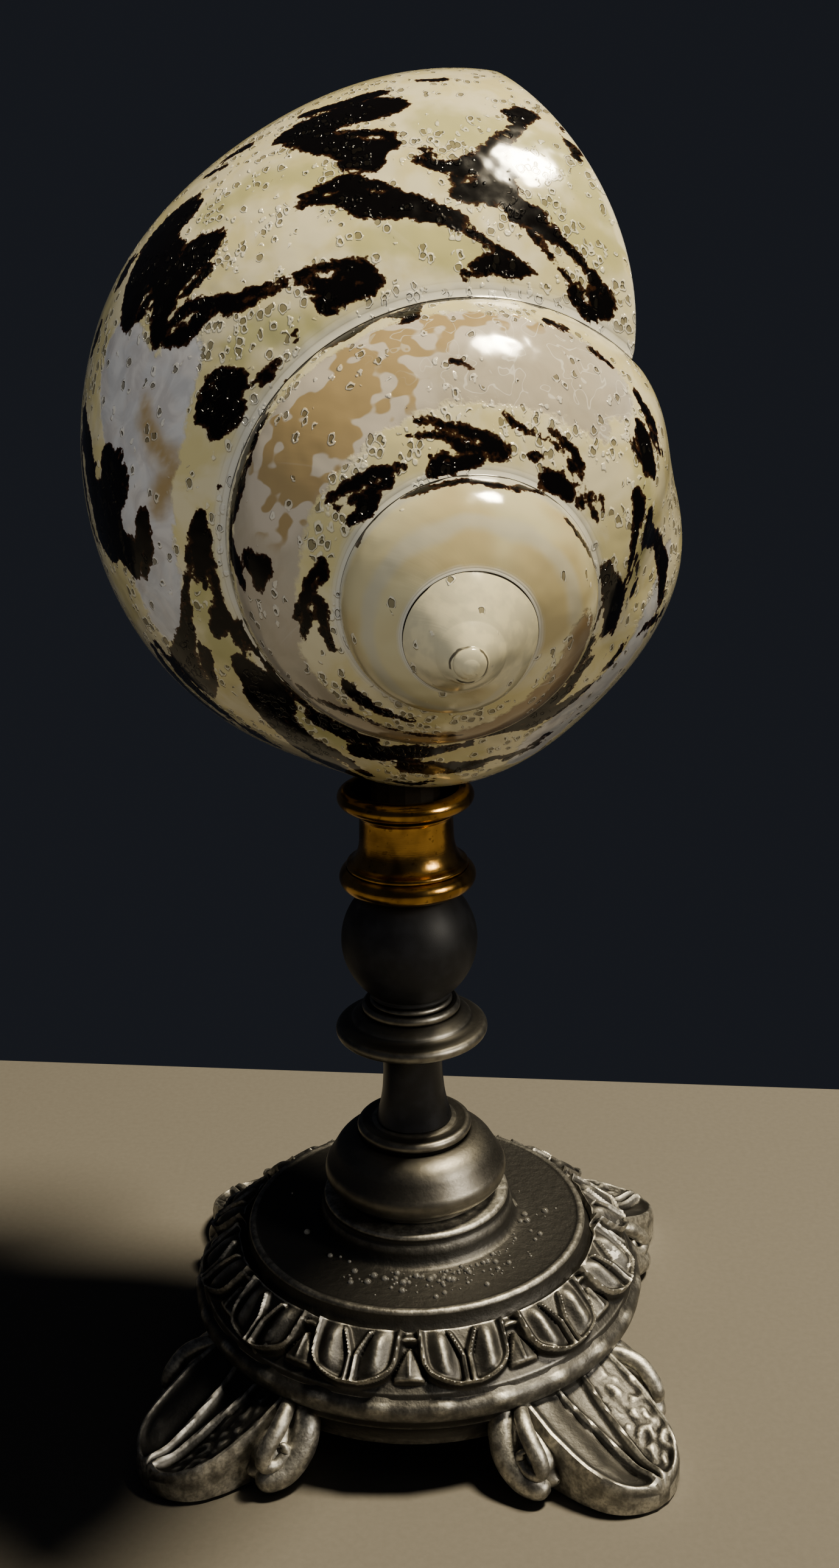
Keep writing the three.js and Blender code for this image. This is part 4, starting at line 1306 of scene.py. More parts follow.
@dataclass(frozen=True)
class Gunmetal:
    """Satin dark metal with a fine grain, painted near black in its hollows as shade, and brighter on its
    raised edges, partly wear and partly a painted highlight.
    """

    body: Colour = (0.125, 0.121, 0.115)
    # raised edges: worn, and brightened further as a painted highlight
    edge_wear_and_highlight: Colour = (0.66, 0.64, 0.59)
    # painted shade for the hollows
    painted_shade: Colour = (0.012, 0.011, 0.010)
    gloss: float = 0.52
    grain: float = 1.6
    flecks: float = 0.35
    edge_span: tuple[float, float] = (0.500, 0.535)
    hollow_span: tuple[float, float] = (0.49, 0.43)

    def material(self, name: str) -> bpy.types.Material:
        """Builds the finish under a name.

        Args:
            name: The material's name.

        Returns:
            The material.
        """
        n = Nodes(name)
        speck = n.noise(3.2, 3.0, 0.6)
        point = n.pointiness()
        patches = n.ramp(n.noise(0.5, 2.0), 0.35, 0.6, 0.45, 1.0)
        flecked = n.ramp(n.noise(1.7, 2.0, 0.6), 0.35, 0.60, 1.0 - self.flecks, 1.0)
        # raised edges lighter, partly wear and partly a painted highlight
        tone = n.mix(n.times(n.ramp(point, *self.edge_span), patches, flecked), self.body, self.edge_wear_and_highlight)
        # hollows painted near black as shade
        tone = n.mix(n.ramp(point, *self.hollow_span), tone, self.painted_shade)
        rough = n.plus(self.gloss, n.times(n.less(speck, 0.5), 0.2))
        height = n.plus(n.times(speck, 0.022 * self.grain), n.times(n.noise(0.6, 2.0), 0.08 * self.grain))
        return n.finish(Base_Color=tone, Roughness=rough, Metallic=1.0, Normal=n.bump(height))


@dataclass(frozen=True)
class MattBlack:
    """Dull black paint with a fine tooth."""

    tone: Colour = (0.010, 0.010, 0.011)
    worn: Colour = (0.016, 0.016, 0.018)
    gloss: float = 0.46

    def material(self, name: str) -> bpy.types.Material:
        """Builds the finish under a name.

        Args:
            name: The material's name.

        Returns:
            The material.
        """
        n = Nodes(name)
        speck = n.noise(5.0, 2.0, 0.6)
        tone = n.mix(n.ramp(n.noise(0.3, 2.0), 0.4, 0.7), self.tone, self.worn)
        rough = n.plus(self.gloss, n.times(speck, 0.12))
        return n.finish(Base_Color=tone, Roughness=rough, Normal=n.bump(n.times(speck, 0.015)))


@dataclass(frozen=True)
class PolishedBrass:
    """Warm brass, tarnished brown in patches and flecked, duller inside its cup, and painted dark as shade in
    its hollows and inside the cup.
    """

    bright: Colour = (0.66, 0.41, 0.15)
    tarnish: Colour = (0.16, 0.085, 0.022)
    # painted shade for the hollows and the cup's inside
    painted_shade: Colour = (0.030, 0.018, 0.008)
    gloss: float = 0.15
    cup_radius: float = 8.75
    cup_height: float = 102.6
    cup_edge: float = 0.3

    def cup(self, n: Nodes) -> Socket:
        """Mask of the cup's inside, where the brass is painted dark as shade.

        Args:
            n: The material's nodes.

        Returns:
            The mask.
        """
        spot = n.add("VectorMath", n.mm, tuple(v / MM for v in STEM), operation="SUBTRACT").outputs[0]
        x, y, z = n.add("SeparateXYZ", spot).outputs
        out = n.math("SQRT", n.plus(n.math("POWER", x, 2.0), n.math("POWER", y, 2.0)))
        return n.times(n.ramp(out, self.cup_radius + self.cup_edge, self.cup_radius),
                       n.ramp(z, self.cup_height, self.cup_height + self.cup_edge))

    def material(self) -> bpy.types.Material:
        """Builds the finish.

        Returns:
            The material.
        """
        n = Nodes("brass")
        cloud = n.noise(0.22, 2.0, 0.5)
        fleck = n.ramp(n.noise(1.1, 2.0), 0.62, 0.70)
        hollow = n.ramp(n.pointiness(), 0.49, 0.44)
        runs = n.ramp(n.noise(0.22, 1.0, 0.5, 0.8, n.millimetres((1.0, 1.0, 0.5))), 0.40, 0.72)
        cup = self.cup(n)
        tone = self.bright
        for share in (n.ramp(cloud, 0.44, 0.80, 0.0, 0.75), n.times(fleck, 0.5), n.times(runs, 0.6)):
            tone = n.mix(share, tone, self.tarnish)
        # hollows and the cup's inside painted dark as shade
        for share in (n.times(hollow, 0.8), cup):
            tone = n.mix(share, tone, self.painted_shade)
        rings = n.noise(1.0, 2.0, where=n.millimetres((0.05, 0.05, 6.0)))
        height = n.plus(n.times(rings, 0.010), n.times(n.noise(0.5, 2.0), 0.05))
        rough = n.plus(self.gloss, n.times(cloud, 0.18), n.times(cup, 0.4))
        return n.finish(Base_Color=tone, Roughness=rough, Metallic=1.0, Normal=n.bump(height))


@dataclass(frozen=True)
class PlainFinish:
    """A simple finish for what hardly shows."""

    tone: Colour
    rough: float
    metal: float = 0.0

    def material(self, name: str) -> bpy.types.Material:
        """Builds the finish under a name.

        Args:
            name: The material's name.

        Returns:
            The material.
        """
        n = Nodes(name)
        speck = n.noise(1.6, 3.0, 0.6)
        tone = n.mix(n.ramp(speck, 0.3, 0.7), self.tone, tuple(c * 1.5 for c in self.tone))
        return n.finish(Base_Color=tone, Roughness=self.rough, Metallic=self.metal,
                        Normal=n.bump(n.times(speck, 0.03)))


@dataclass
class Stem:
    """The turned pieces between the base and the shell, bored for the rod they are threaded on."""

    gap: float = 0.3
    bore: float = 2.8
    bell_bottom: float = 32.3
    neck_bottom: float = 46.2
    disc_bottom: float = 62.4
    ball_bottom: float = 69.7
    ball_centre: float = 79.8
    ball_radius: float = 11.5
    collar_bottom: float = 89.2
    collar_top: float = 106.8
    cup_depth: float = 4.1

    def bell(self) -> Outline:
        """Outline of the bell.

        Returns:
            Points of (radius, height).
        """
        top = self.neck_bottom - self.gap
        low = self.bell_bottom
        return [(self.bore, low), *arc(12.6, low + 0.5, 0.5, -90, 0, 4), (13.2, 33.9),
                *arc(13.1, 36.5, 2.8, -52, 42, 14), *sweep((14.4, 39.6), (13.2, 42.6), (9.6, 43.4), 10)[1:],
                *arc(9.0, 44.7, 0.95, -60, 100, 10), *sweep((8.2, 45.5), (7.6, 45.6), (7.2, top), 3)[1:],
                (self.bore, top)]

    def neck(self) -> Outline:
        """Outline of the neck.

        Returns:
            Points of (radius, height).
        """
        top = self.disc_bottom - self.gap
        return [(self.bore, self.neck_bottom), (6.6, self.neck_bottom),
                *sweep((6.5, 46.6), (5.6, 49.5), (5.35, 52.0)),
                *sweep((5.3, 52.6), (4.95, 56.5), (5.3, 59.4)),
                *sweep((5.4, 59.8), (5.7, 61.4), (6.4, top), 5), (self.bore, top)]

    def disc(self) -> Outline:
        """Outline of the stepped disc.

        Returns:
            Points of (radius, height).
        """
        top = self.ball_bottom - self.gap
        return [(self.bore, self.disc_bottom), (9.8, self.disc_bottom), *arc(11.9, 63.5, 1.1, -80, 75, 10),
                *sweep((11.7, 64.75), (10.6, 65.0), (10.3, 65.4), 5),
                *sweep((10.2, 65.7), (9.4, 66.5), (8.6, 66.9), 5), *arc(7.5, 67.7, 0.9, -40, 70, 7),
                *arc(6.5, 68.8, 0.55, -70, 80, 6), (6.2, top), (self.bore, top)]

    def ball(self) -> Outline:
        """Outline of the ball with its small foot.

        Returns:
            Points of (radius, height).
        """
        return [(self.bore, self.ball_bottom), *arc(6.6, self.ball_bottom + 0.4, 0.4, -90, 40, 4),
                *arc(0, self.ball_centre, self.ball_radius, -53, 54, 32),
                (self.bore, self.collar_bottom - self.gap)]

    def collar(self) -> Outline:
        """Outline of the brass collar and its cup.

        Returns:
            Points of (radius, height).
        """
        top, floor = self.collar_top, self.collar_top - self.cup_depth
        return [(self.bore, self.collar_bottom), (8.6, self.collar_bottom), *arc(9.5, 91.4, 1.9, -62, 68, 16),
                *arc(9.55, 93.55, 0.62, -70, 80, 8), *sweep((9.2, 94.4), (7.95, 95.6), (7.85, 98.2), 10),
                (7.8, 100.0), *sweep((7.75, 101.6), (7.75, 102.1), (7.95, 102.3), 4),
                *arc(7.85, 102.85, 0.5, -55, 60), *sweep((7.85, 103.5), (7.8, 103.8), (8.6, 104.0), 5)[:-1],
                *arc(9.85, top - 1.45, 1.45, -78, 92, 18), *arc(9.0, top - 0.5, 0.5, 90, 180, 4),
                *sweep((8.4, top - 1.2), (7.7, top - 2.4), (7.4, floor + 0.5), 6),
                *sweep((7.3, floor + 0.2), (7.2, floor), (6.6, floor), 4), (self.bore, floor)]

    def build(self) -> list[bpy.types.Object]:
        """Makes and dresses the stem's pieces.

        Returns:
            The pieces, from the bottom up.
        """
        # the second colour is the raised edges' wear and painted highlight
        turned_metal = Gunmetal((0.20, 0.189, 0.168), (0.44, 0.42, 0.375), gloss=0.44, grain=0.5, flecks=0.11)
        gunmetal = turned_metal.material("gunmetal")
        matt = MattBlack().material("matt black")
        satin = MattBlack(gloss=0.24).material("satin black")
        made = []
        for name, node, outline, slot, finish in (
            ("bell_turning", "bell", self.bell(), Slot.CASTING, gunmetal),
            ("neck_turning", "neck", self.neck(), Slot.MATT, satin),
            ("disc_turning", "disc", self.disc(), Slot.CASTING, gunmetal),
            ("ball_turning", "ball", self.ball(), Slot.MATT, matt),
            ("collar_turning", "brass_collar", self.collar(), Slot.BRASS, PolishedBrass().material()),
        ):
            piece = finish_mesh(turned(outline), name)
            piece.data.materials.append(finish)
            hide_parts(node)
            made.append(piece)
        return made


@dataclass(frozen=True)
class LeafRelief:
    """Relief of one leaf of the ring, in millimetres, with its widths in degrees and lengths in shares."""

    pitch: float = 15.0
    half: float = 12.9
    taper: float = 1.1
    shoulder: float = 0.46
    ground: float = -0.35
    field: float = 0.65
    bead: float = 1.25
    bead_half: float = 0.0825
    arch_half: float = 0.06
    lobe: float = 1.55
    lobe_way: float = 6.9
    lobe_half: float = 2.7
    rib: float = 1.35
    rib_half: float = 0.85
    rib_spread: float = 3.6
    bud: float = 1.35
    bud_half: float = 4.1
    stalk: float = 0.35
    stalk_half: float = 0.5

    def height(self, side: np.ndarray, along: np.ndarray) -> np.ndarray:
        """Height of one leaf and half of each bud beside it, in millimetres.

        Args:
            side: Degrees from the leaf's midrib, up to the pitch either way.
            along: 0 under the plate's edge, 1 at the leaf's tip.

        Returns:
            Heights above the ring's slope.
        """
        off = np.abs(side)
        gap = self.pitch - off
        wide = self.half - self.taper * np.clip(along / 0.5, 0, 1)
        edge = np.hypot(off / wide, np.maximum(0, along - self.shoulder) / 0.49)
        inside = smoothstep(1 - edge, -0.03, 0.05)
        arch = 0.13 + 0.055 * (gap / 3.4) ** 2
        bead = self.bead * ridge(edge - 0.96, self.bead_half)
        bead = np.where(off > wide, np.maximum(bead, self.bead * ridge(along - arch, self.arch_half)), bead)
        lobe = self.lobe * ridge(off - self.lobe_way + 1.4 * along, self.lobe_half)
        lobe = lobe * np.exp(-((along - 0.46) / 0.40) ** 4)
        spread = self.rib_half + self.rib_spread * np.clip((0.5 - along) / 0.5, 0, 1) ** 1.2
        rib = self.rib * ridge(off - spread, self.rib_half) * smoothstep(along, 0.0, 0.1)
        rib = rib * (1 - smoothstep(along, 0.86, 0.95))
        bud_half = np.maximum(self.bud_half * np.clip((along - 0.26) / 0.5, 0, 1) ** 0.8, 0.05)
        bud = self.bud * np.clip(1 - (gap / bud_half) ** 2, 0, 1) ** 0.5 * (1 - smoothstep(along, 0.78, 0.88))
        stalk = self.stalk * ridge(gap, self.stalk_half) * smoothstep(along, 0.28, 0.4)
        bud = bud + stalk * (1 - smoothstep(along, 0.7, 0.8))
        low = self.ground + np.where(edge > 1, bud * smoothstep(along, 0.26, 0.34), 0)
        return low * (1 - inside) + (self.field + np.maximum(lobe, rib)) * inside + bead


@dataclass(frozen=True)
class FootRelief:
    """Shape of a foot's leaf blade, in millimetres, from the base's middle outward."""

    start: float = 31.0
    round_from: float = 50.0
    tip: float = 59.0
    top: tuple = ((31, 13.6), (37, 12.4), (43.5, 9.9), (49.5, 7.5), (55, 5.4), (59, 4.2))
    half: tuple = ((31, 8.5), (37, 10.2), (43.5, 10.6), (48, 10.1), (52, 9.4))
    bead: float = 0.85
    bead_half: float = 0.075
    dish: float = 1.5
    rib: float = 1.5
    rib_half: float = 0.75
    cushion: float = 0.9
    cushion_way: float = 5.4
    cushion_half: float = 2.6
    hammer: float = 0.55
    hammer_scale: float = 0.75
    lip: float = 1.1

    def points(self, across: np.ndarray, share: np.ndarray) -> list[Vector]:
        """Points of the blade's top.

        Args:
            across: -1 to 1 from edge to edge.
            share: 0 to 1 from the skirt to the tip.

        Returns:
            Points for a foot along +X, in millimetres.
        """
        x = self.start + (self.tip - self.start) * share
        half = np.interp(x, *zip(*self.half))
        ahead = np.clip((x - self.round_from) / (self.tip - self.round_from), 0, 1)
        y = across * half * np.sqrt(np.maximum(0.02, 1 - ahead**2))
        edge = np.hypot(np.abs(y) / half, ahead)
        bead = self.bead * ridge(edge - 0.93, self.bead_half)
        dish = self.dish * (1 - smoothstep(edge, 0.35, 0.92)) * smoothstep(share, 0.1, 0.4)
        spread = self.rib_half + 3.6 * (1 - share) ** 1.5
        rib = self.rib * ridge(np.abs(y) - spread, self.rib_half) * (1 - smoothstep(share, 0.93, 1.0))
        cushion = self.cushion * ridge(np.abs(y) - self.cushion_way, self.cushion_half)
        cushion = cushion * (1 - smoothstep(share, 0.75, 0.95))
        rough = np.array([noise.noise(Vector((a, b, 0.0)) * self.hammer_scale) for a, b in zip(x, y)])
        hammer = self.hammer * rough * smoothstep(y, 2.0, 3.5) * (1 - smoothstep(edge, 0.8, 0.95))
        z = np.interp(x, *zip(*self.top)) - 0.2 + bead - dish + np.maximum(rib, cushion) + hammer
        z = z - self.lip * smoothstep(edge, 0.96, 1.0)
        return [Vector(spot) for spot in zip(x, y, z)]


class WallStep(Enum):
    """Steps of a foot's side wall, from its rim down."""

    UNDER_RIM = 1
    ABOVE_GROUND = 2
    GROUND = 3


@dataclass
class LeafBase:
    """The cast foot: plate, ring of leaves, skirt hollow underneath, and four leaf feet with scrolls."""

    bore: float = 2.8
    recess: float = 15.0
    plate: float = 26.6
    plate_bead: float = 0.75
    boss: float = 32.0
    facets: int = 168
    swell: float = 0.55
    swell_level: float = 15.6
    swell_half: float = 1.1
    swell_from: float = 37.0
    leaves: int = 12
    leaf_turn: float = -77.5
    leaf_cells: tuple[int, int] = (76, 56)
    leaf_reach: float = 1.12
    leaf_root: tuple[float, float] = (31.0, 23.9)
    leaf_tip: tuple[float, float] = (38.3, 17.7)
    sunk_tip: tuple[float, float] = (33.0, 16.6)
    sunk_root: tuple[float, float] = (30.6, 19.5)
    ring_middle: float = 35.0
    foot_cells: tuple[int, int] = (46, 56)
    foot_turns: tuple[float, ...] = (-49.4, 40.6, 130.6, 220.6)
    foot_edge: float = 1.0
    foot_sole: float = 0.7
    foot_inset: tuple[float, float] = (0.5, 0.93)
    scroll_sides: int = 14
    scroll_steps: int = 5
    scrolls: tuple[Scroll, ...] = (
        ((33, 7, 9.4, 3.0), (37.5, 9.6, 7.0, 3.6), (42.0, 11.2, 5.0, 3.6), (44.6, 11.2, 3.6, 2.4),
         (46.4, 11.0, 3.4, 0.4)),
        ((32.4, 8.6, 11.8, 1.5), (34.6, 11.8, 11.0, 2.1), (36.6, 14.0, 8.8, 2.4), (38.8, 14.9, 6.0, 2.5),
         (41.6, 14.7, 3.7, 2.5), (44.2, 13.9, 2.9, 2.3), (45.8, 13.2, 2.7, 1.5), (46.4, 12.9, 2.6, 0.3)),
        ((36.0, 9.4, 12.0, 1.0), (38.6, 11.6, 11.8, 1.3), (41.6, 13.2, 10.6, 1.4), (44.4, 13.6, 8.2, 1.4),
         (45.2, 13.8, 6.0, 1.3), (43.4, 14.6, 5.4, 1.1), (41.4, 14.7, 6.6, 1.0), (41.6, 14.5, 8.0, 0.7),
         (42.2, 14.2, 8.4, 0.2)))
    glue_beads: int = 150
    glue_front: float = 0.8
    glue_turn: tuple[float, float] = (-72, 26)
    glue_ring: tuple[float, float] = (18.6, 1.6)
    glue_stray: float = 5.0
    glue_size: tuple[float, float] = (0.18, 0.52)
    glue_height: float = 0.9
    seed: int = 7

    def body_outline(self) -> Outline:
        """Outline of the plate, its boss, the skirt and the hollow beneath.

        Returns:
            Points of (radius, height).
        """
        top = self.plate
        return [(self.bore, self.recess), (29.6, self.recess),
                *sweep((30.4, 14.2), (31.2, 10.0), (32.0, 6.6), 5),
                *arc(32.7, 6.9, 0.7, 190, 270, 4), *arc(36.0, 6.9, 0.7, -90, -10, 4),
                *sweep((36.9, 7.6), (37.2, 10.0), (38.4, 10.9)), *arc(37.6, 14.3, 2.25, -55, 62, 14),
                (37.4, 17.4), (31.2, 22.6), (30.3, 24.4), (30.0, 25.2),
                *arc(29.1, top - 0.5, self.plate_bead, 0, 90, 7),
                *sweep((28.7, top + 0.2), (28.4, top + 0.02), (28.0, top), 3), (24.0, top), (20.5, top),
                *sweep((18.4, top), (17.6, top + 0.2), (17.2, top + 1.1), 6),
                *sweep((17.0, 28.6), (16.9, 29.8), (16.3, 30.4), 6),
                *arc(15.6, self.boss - 0.7, 0.7, -20, 90, 6), (self.bore, self.boss)]

    def body(self) -> Solid:
        """Turns the body and swells its band into low bosses between the leaves.

        Returns:
            The mesh, in metres.
        """
        bm = turned(self.body_outline(), self.facets)
        for vert in bm.verts:
            spot = vert.co - STEM
            if math.hypot(spot.x, spot.y) > self.swell_from * MM:
                turn = math.atan2(spot.y, spot.x) - math.radians(self.leaf_turn)
                swell = max(0.0, math.cos(2 * self.leaves * turn + math.pi)) ** 2
                swell *= self.swell * float(ridge(spot.z / MM - self.swell_level, self.swell_half))
                out = Vector((spot.x, spot.y, 0)).normalized()
                vert.co += (out * 0.8 + Vector((0, 0, 0.6))) * swell * MM
        return bm

    def leaf_ring(self) -> Solid:
        """Makes the ring of leaves as one closed solid sunk into the body.

        Returns:
            The mesh, in metres.
        """
        bm = bmesh.new()
        columns, rows = self.leaf_cells
        made, i, j = sheet_of(bm, columns, rows)
        side = (i / columns - 0.5) * 2 * 180 / self.leaves
        along = j / rows * self.leaf_reach
        root, tip = np.array(self.leaf_root), np.array(self.leaf_tip)
        way = (tip - root) / np.linalg.norm(tip - root)
        height = LeafRelief().height(side, np.minimum(along, 1.1)) - 5 * np.maximum(along - 1, 0)
        spots = root + (tip - root) * along[:, None] + np.array([-way[1], way[0]]) * height[:, None]
        for vert, (r, z), a in zip(made, spots, np.radians(self.leaf_turn + side)):
            vert.co = STEM + Vector((r * math.cos(a), r * math.sin(a), z)) * MM
        first = list(bm.verts) + list(bm.edges) + list(bm.faces)
        for k in range(1, self.leaves):
            copy = bmesh.ops.duplicate(bm, geom=first)
            bmesh.ops.rotate(bm, cent=STEM, matrix=Matrix.Rotation(TAU * k / self.leaves, 3, "Z"),
                             verts=of_kind(copy["geom"], bmesh.types.BMVert))
        bmesh.ops.remove_doubles(bm, verts=bm.verts, dist=SEAM_WELD)
        walls = bmesh.ops.extrude_edge_only(bm, edges=open_edges(bm))["geom"]
        for vert in of_kind(walls, bmesh.types.BMVert):
            spot = vert.co - STEM
            r = math.hypot(spot.x, spot.y)
            to, z = self.sunk_tip if r > self.ring_middle * MM else self.sunk_root
            vert.co = STEM + Vector((spot.x / r * to, spot.y / r * to, z)) * MM
        bmesh.ops.bridge_loops(bm, edges=open_edges(bm))
        bmesh.ops.recalc_face_normals(bm, faces=bm.faces)
        return bm

    def foot_blade(self) -> Solid:
        """Makes one foot's leaf blade, standing on the ground.

        Returns:
            The mesh, in metres.
        """
        bm = bmesh.new()
        columns, rows = self.foot_cells
        made, i, j = sheet_of(bm, columns, rows)
        for vert, spot in zip(made, FootRelief().points((i / columns - 0.5) * 2, j / rows)):
            vert.co = STEM + spot * MM
        rim = open_edges(bm)
        for step in WallStep:
            walls = bmesh.ops.extrude_edge_only(bm, edges=rim)["geom"]
            verts = set(of_kind(walls, bmesh.types.BMVert))
            rim = [e for e in of_kind(walls, bmesh.types.BMEdge) if all(v in verts for v in e.verts)]
            for vert in verts:
                spot = (vert.co - STEM) / MM
                if step is WallStep.UNDER_RIM:
                    spot.z = max(self.foot_edge, spot.z - self.foot_edge)
                elif step is WallStep.ABOVE_GROUND:
                    spot.z = self.foot_sole
                else:
                    spot = Vector((spot.x - self.foot_inset[0], spot.y * self.foot_inset[1], 0.0))
                vert.co = STEM + spot * MM
        bmesh.ops.holes_fill(bm, edges=rim, sides=0)
        bmesh.ops.remove_doubles(bm, verts=bm.verts, dist=WELD)
        bmesh.ops.recalc_face_normals(bm, faces=bm.faces)
        return bm

    def scroll(self, path: Scroll) -> Solid:
        """Makes a closed tube along a smooth path.

        Args:
            path: Points of (outward, sideways, height, radius) in millimetres.

        Returns:
            The tube.
        """
        last = len(path) - 1
        rings = through(np.array(path, float), np.linspace(0, last, last * self.scroll_steps + 1))
        bm = bmesh.new()
        previous = None
        for k, ring in enumerate(rings):
            ahead = Vector((rings[min(k + 1, len(rings) - 1)] - rings[max(k - 1, 0)])[:3])
            turn = ahead.to_track_quat("Z", "X").to_matrix().to_4x4()
            loop = bmesh.ops.create_circle(
                bm, cap_ends=False, segments=self.scroll_sides, radius=ring[3] * MM,
                matrix=Matrix.Translation(STEM + Vector(ring[:3]) * MM) @ turn)["verts"]
            edges = [e for v in loop for e in v.link_edges if all(w in loop for w in e.verts)]
            if previous:
                bmesh.ops.bridge_loops(bm, edges=list(set(previous + edges)))
            previous = edges
        bmesh.ops.holes_fill(bm, edges=open_edges(bm), sides=0)
        for vert in bm.verts:
            vert.co.z = max(0.0, vert.co.z)
        bmesh.ops.recalc_face_normals(bm, faces=bm.faces)
        return bm

    def foot(self) -> Solid:
        """Makes one foot pointing along +X: the blade, and a scroll of three tubes on either side.

        Returns:
            The mesh, in metres.
        """
        bm = self.foot_blade()
        for path in self.scrolls:
            for sign in (1, -1):
                merge_into(bm, self.scroll(tuple((x, sign * y, z, r) for x, y, z, r in path)))
        return bm

    def bubbles(self) -> Solid:
        """Scatters small beads of dried glue over the plate round the boss.

        Returns:
            The mesh, in metres.
        """
        bm = bmesh.new()
        pick = random.Random(self.seed)
        ring, spread = self.glue_ring
        small, more = self.glue_size
        for _ in range(self.glue_beads):
            front = pick.random() < self.glue_front
            turn = math.radians(pick.gauss(*self.glue_turn) if front else pick.uniform(0, 360))
            r = ring + abs(pick.gauss(0, spread)) + (pick.random() ** 3) * self.glue_stray
            size = small + more * pick.random() ** 2.5
            spot = STEM + Vector((r * math.cos(turn), r * math.sin(turn), self.plate + 0.05)) * MM
            shape = Matrix.Translation(spot) @ Matrix.Diagonal((1, 1, self.glue_height, 1))
            bmesh.ops.create_uvsphere(bm, u_segments=8, v_segments=5, radius=size * MM, matrix=shape)
        for face in bm.faces:
            face.material_index = 1
        return bm

    def build(self) -> Piece:
        """Makes and dresses the base.

        Returns:
            The base's piece.
        """
        bm = self.body()
        merge_into(bm, self.leaf_ring())
        foot = self.foot()
        for turn in self.foot_turns:
            copy = foot.copy()
            bmesh.ops.rotate(copy, cent=STEM, verts=copy.verts,
                             matrix=Matrix.Rotation(math.radians(turn), 3, "Z"))
            merge_into(bm, copy)
        foot.free()
        merge_into(bm, self.bubbles())
        piece = finish_mesh(bm, "leaf_base", crease=38.0)
        piece.data.materials.append(Gunmetal().material("black casting"))
        piece.data.materials.append(PlainFinish((0.10, 0.095, 0.085), 0.12).material("glue beads"))
        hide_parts("base")
        return piece


def dress_nodes() -> None:
    """Gives the CAD nodes that stay as they are their finishes."""
    steel = PlainFinish((0.33, 0.32, 0.30), 0.38, 1.0).material("zinc steel")
    # dark glue, toned down to near black so that it also stands in for the shade in the gap under the shell
    glue = PlainFinish((0.016, 0.011, 0.006), 0.55).material("adhesive")
    for name in ("threaded_rod", "washer", "hex_nut", "adhesive_pad"):
        finish = glue if name == "adhesive_pad" else steel
        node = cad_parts[name]
        node.data.materials.clear()
        node.data.materials.append(finish)
        LOG.info("%s: dressed as it stands", name)


# The studio


@dataclass(frozen=True)
class SoftLight:
    """A soft oval light.

    It has its place, the height it is aimed at and its size in metres, its power in watts and its colour.
    """

    name: str
    place: Colour
    aim: float
    size: tuple[float, float]
    power: float
    tint: Colour
    glossy: bool = True

    def hang(self) -> None:
        """Adds the light, which shows in reflections only if it is glossy."""
        data = bpy.data.lights.new(self.name, "AREA")
        data.shape = "ELLIPSE"
        data.size, data.size_y = self.size
        data.energy = self.power
        data.color = self.tint
        lamp = bpy.data.objects.new(self.name, data)
        lamp.visible_glossy = self.glossy
        lamp.location = self.place
        way = Vector((0.0, 0.0, self.aim)) - Vector(self.place)
        lamp.rotation_euler = way.to_track_quat("-Z", "Y").to_euler()
        bpy.context.scene.collection.objects.link(lamp)

    def keep_off(self, *pieces: Piece) -> None:
        """Keeps the light off some pieces.

        Args:
            *pieces: The pieces it doesn't light.
        """
        group = bpy.data.collections.new(self.name + " leaves out")
        for piece in pieces:
            group.objects.link(piece)
        for entry in group.collection_objects:
            entry.light_linking.link_state = "EXCLUDE"
        bpy.data.objects[self.name].light_linking.receiver_collection = group


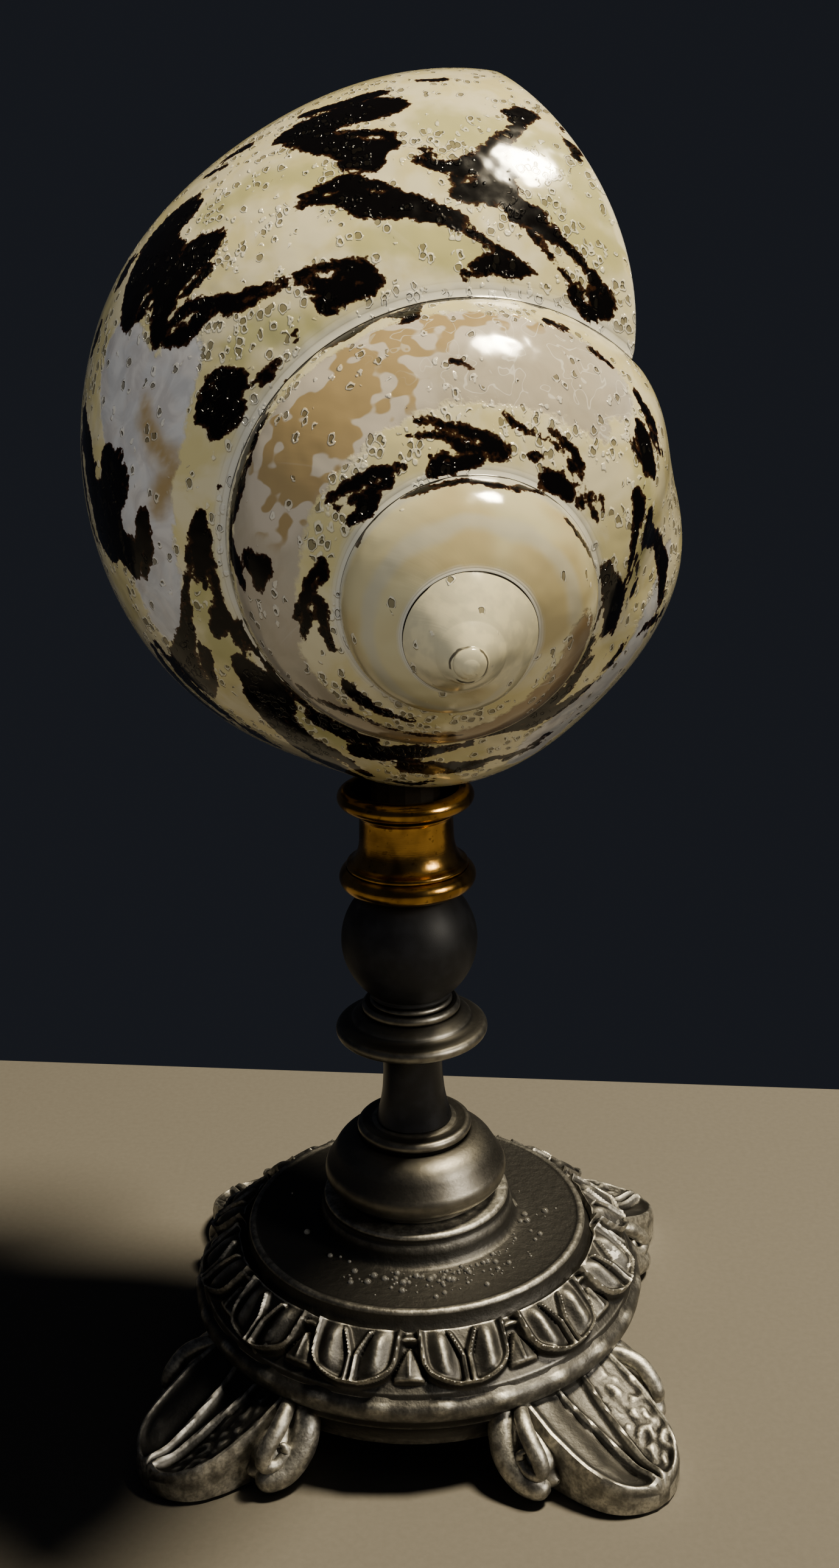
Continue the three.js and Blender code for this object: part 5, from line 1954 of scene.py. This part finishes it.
@dataclass(frozen=True)
class Studio:
    """Floor, soft lights and the photograph's camera."""

    picture_height: int = 2576
    focal_pixels: float = 2800.0
    sensor: float = 36.0
    eye: Colour = (2.34, -264.3, 196.3)
    pitch: float = 18.64
    roll: float = -1.40
    floor_half: float = 1.5
    floor_edge: float = 0.105
    floor_skew: float = -7.0
    floor_dark: Colour = (0.205, 0.19, 0.17)
    floor_light: Colour = (0.25, 0.235, 0.21)
    backdrop: Colour = (0.018, 0.020, 0.025)
    key: SoftLight = SoftLight("key", (0.34, 0.03, 0.88), 0.16, (0.14, 0.19), 10.6, (1.0, 0.89, 0.66))
    stand: SoftLight = SoftLight("stand", (0.62, -0.34, 0.42), 0.08, (0.20, 0.30), 2.8, (1.0, 0.93, 0.80))
    front: SoftLight = SoftLight("front", (-0.42, -0.80, 0.72), 0.16, (0.9, 0.5), 4.2, (0.98, 0.98, 0.98),
                                 glossy=False)
    side: SoftLight = SoftLight("side", (0.60, -0.30, 0.06), 0.16, (0.4, 0.3), 1.3, (1.0, 0.97, 0.90),
                                glossy=False)

    def camera(self) -> None:
        """Sets the camera where the photograph was taken from."""
        data = bpy.data.cameras.new("viewer")
        data.sensor_fit = "AUTO"
        data.sensor_width = self.sensor
        data.lens = self.sensor * self.focal_pixels / self.picture_height
        camera = bpy.data.objects.new("viewer", data)
        turn = math.radians(self.pitch)
        ahead = Vector((0.0, math.cos(turn), -math.sin(turn)))
        side = Vector((1.0, 0.0, 0.0))
        over = side.cross(ahead)
        roll = math.radians(self.roll)
        right = side * math.cos(roll) + over * math.sin(roll)
        up = over * math.cos(roll) - side * math.sin(roll)
        axes = Matrix((right, up, -ahead)).transposed()
        camera.matrix_world = Matrix.Translation(STEM + Vector(self.eye) * MM) @ axes.to_4x4()
        data.clip_start, data.clip_end = 0.01, 20.0
        bpy.context.scene.collection.objects.link(camera)
        bpy.context.scene.camera = camera

    def floor(self) -> Piece:
        """Makes the table top, whose far edge runs a little askew behind the stand.

        Returns:
            The floor's object.
        """
        bm = bmesh.new()
        bmesh.ops.create_grid(bm, x_segments=1, y_segments=1, size=self.floor_half,
                              matrix=Matrix.Translation((0.0, self.floor_edge, 0.0))
                              @ Matrix.Rotation(math.radians(self.floor_skew), 4, "Z")
                              @ Matrix.Translation((0.0, -self.floor_half, 0.0)))
        mesh = bpy.data.meshes.new("floor")
        bm.to_mesh(mesh)
        bm.free()
        floor = bpy.data.objects.new("floor", mesh)
        bpy.context.scene.collection.objects.link(floor)
        n = Nodes("pale floor")
        tone = n.mix(n.noise(0.9, 3.0, 0.6), self.floor_dark, self.floor_light)
        mesh.materials.append(n.finish(Base_Color=tone, Roughness=0.9))
        return floor

    def build(self, shell: Piece) -> None:
        """Makes the floor, lights, world and camera.

        Args:
            shell: The shell, which the stand's light is kept off.
        """
        world = bpy.data.worlds.new("studio")
        world.use_nodes = True
        back = world.node_tree.nodes["Background"]
        back.inputs["Color"].default_value = (*self.backdrop, 1.0)
        back.inputs["Strength"].default_value = 1.0
        bpy.context.scene.world = world
        bpy.context.scene.view_settings.look = "AgX - Medium High Contrast"
        for light in (self.key, self.stand, self.front, self.side):
            light.hang()
        floor = self.floor()
        self.stand.keep_off(shell, floor)
        self.front.keep_off(floor)
        self.side.keep_off(floor)
        self.camera()
        LOG.info("studio is up")


def main() -> None:
    """Builds the shell, its stand and the studio."""
    logging.basicConfig(level=logging.INFO, format="%(name)s: %(message)s")
    shell = Shell().build()
    stem = Stem().build()
    base = LeafBase().build()
    for piece in (shell, *stem, base):
        LOG.info("%s: %d faces", piece.name, len(piece.data.polygons))
    dress_nodes()
    Studio().build(shell)
    bpy.context.view_layer.update()


if __name__ == "__main__":
    main()
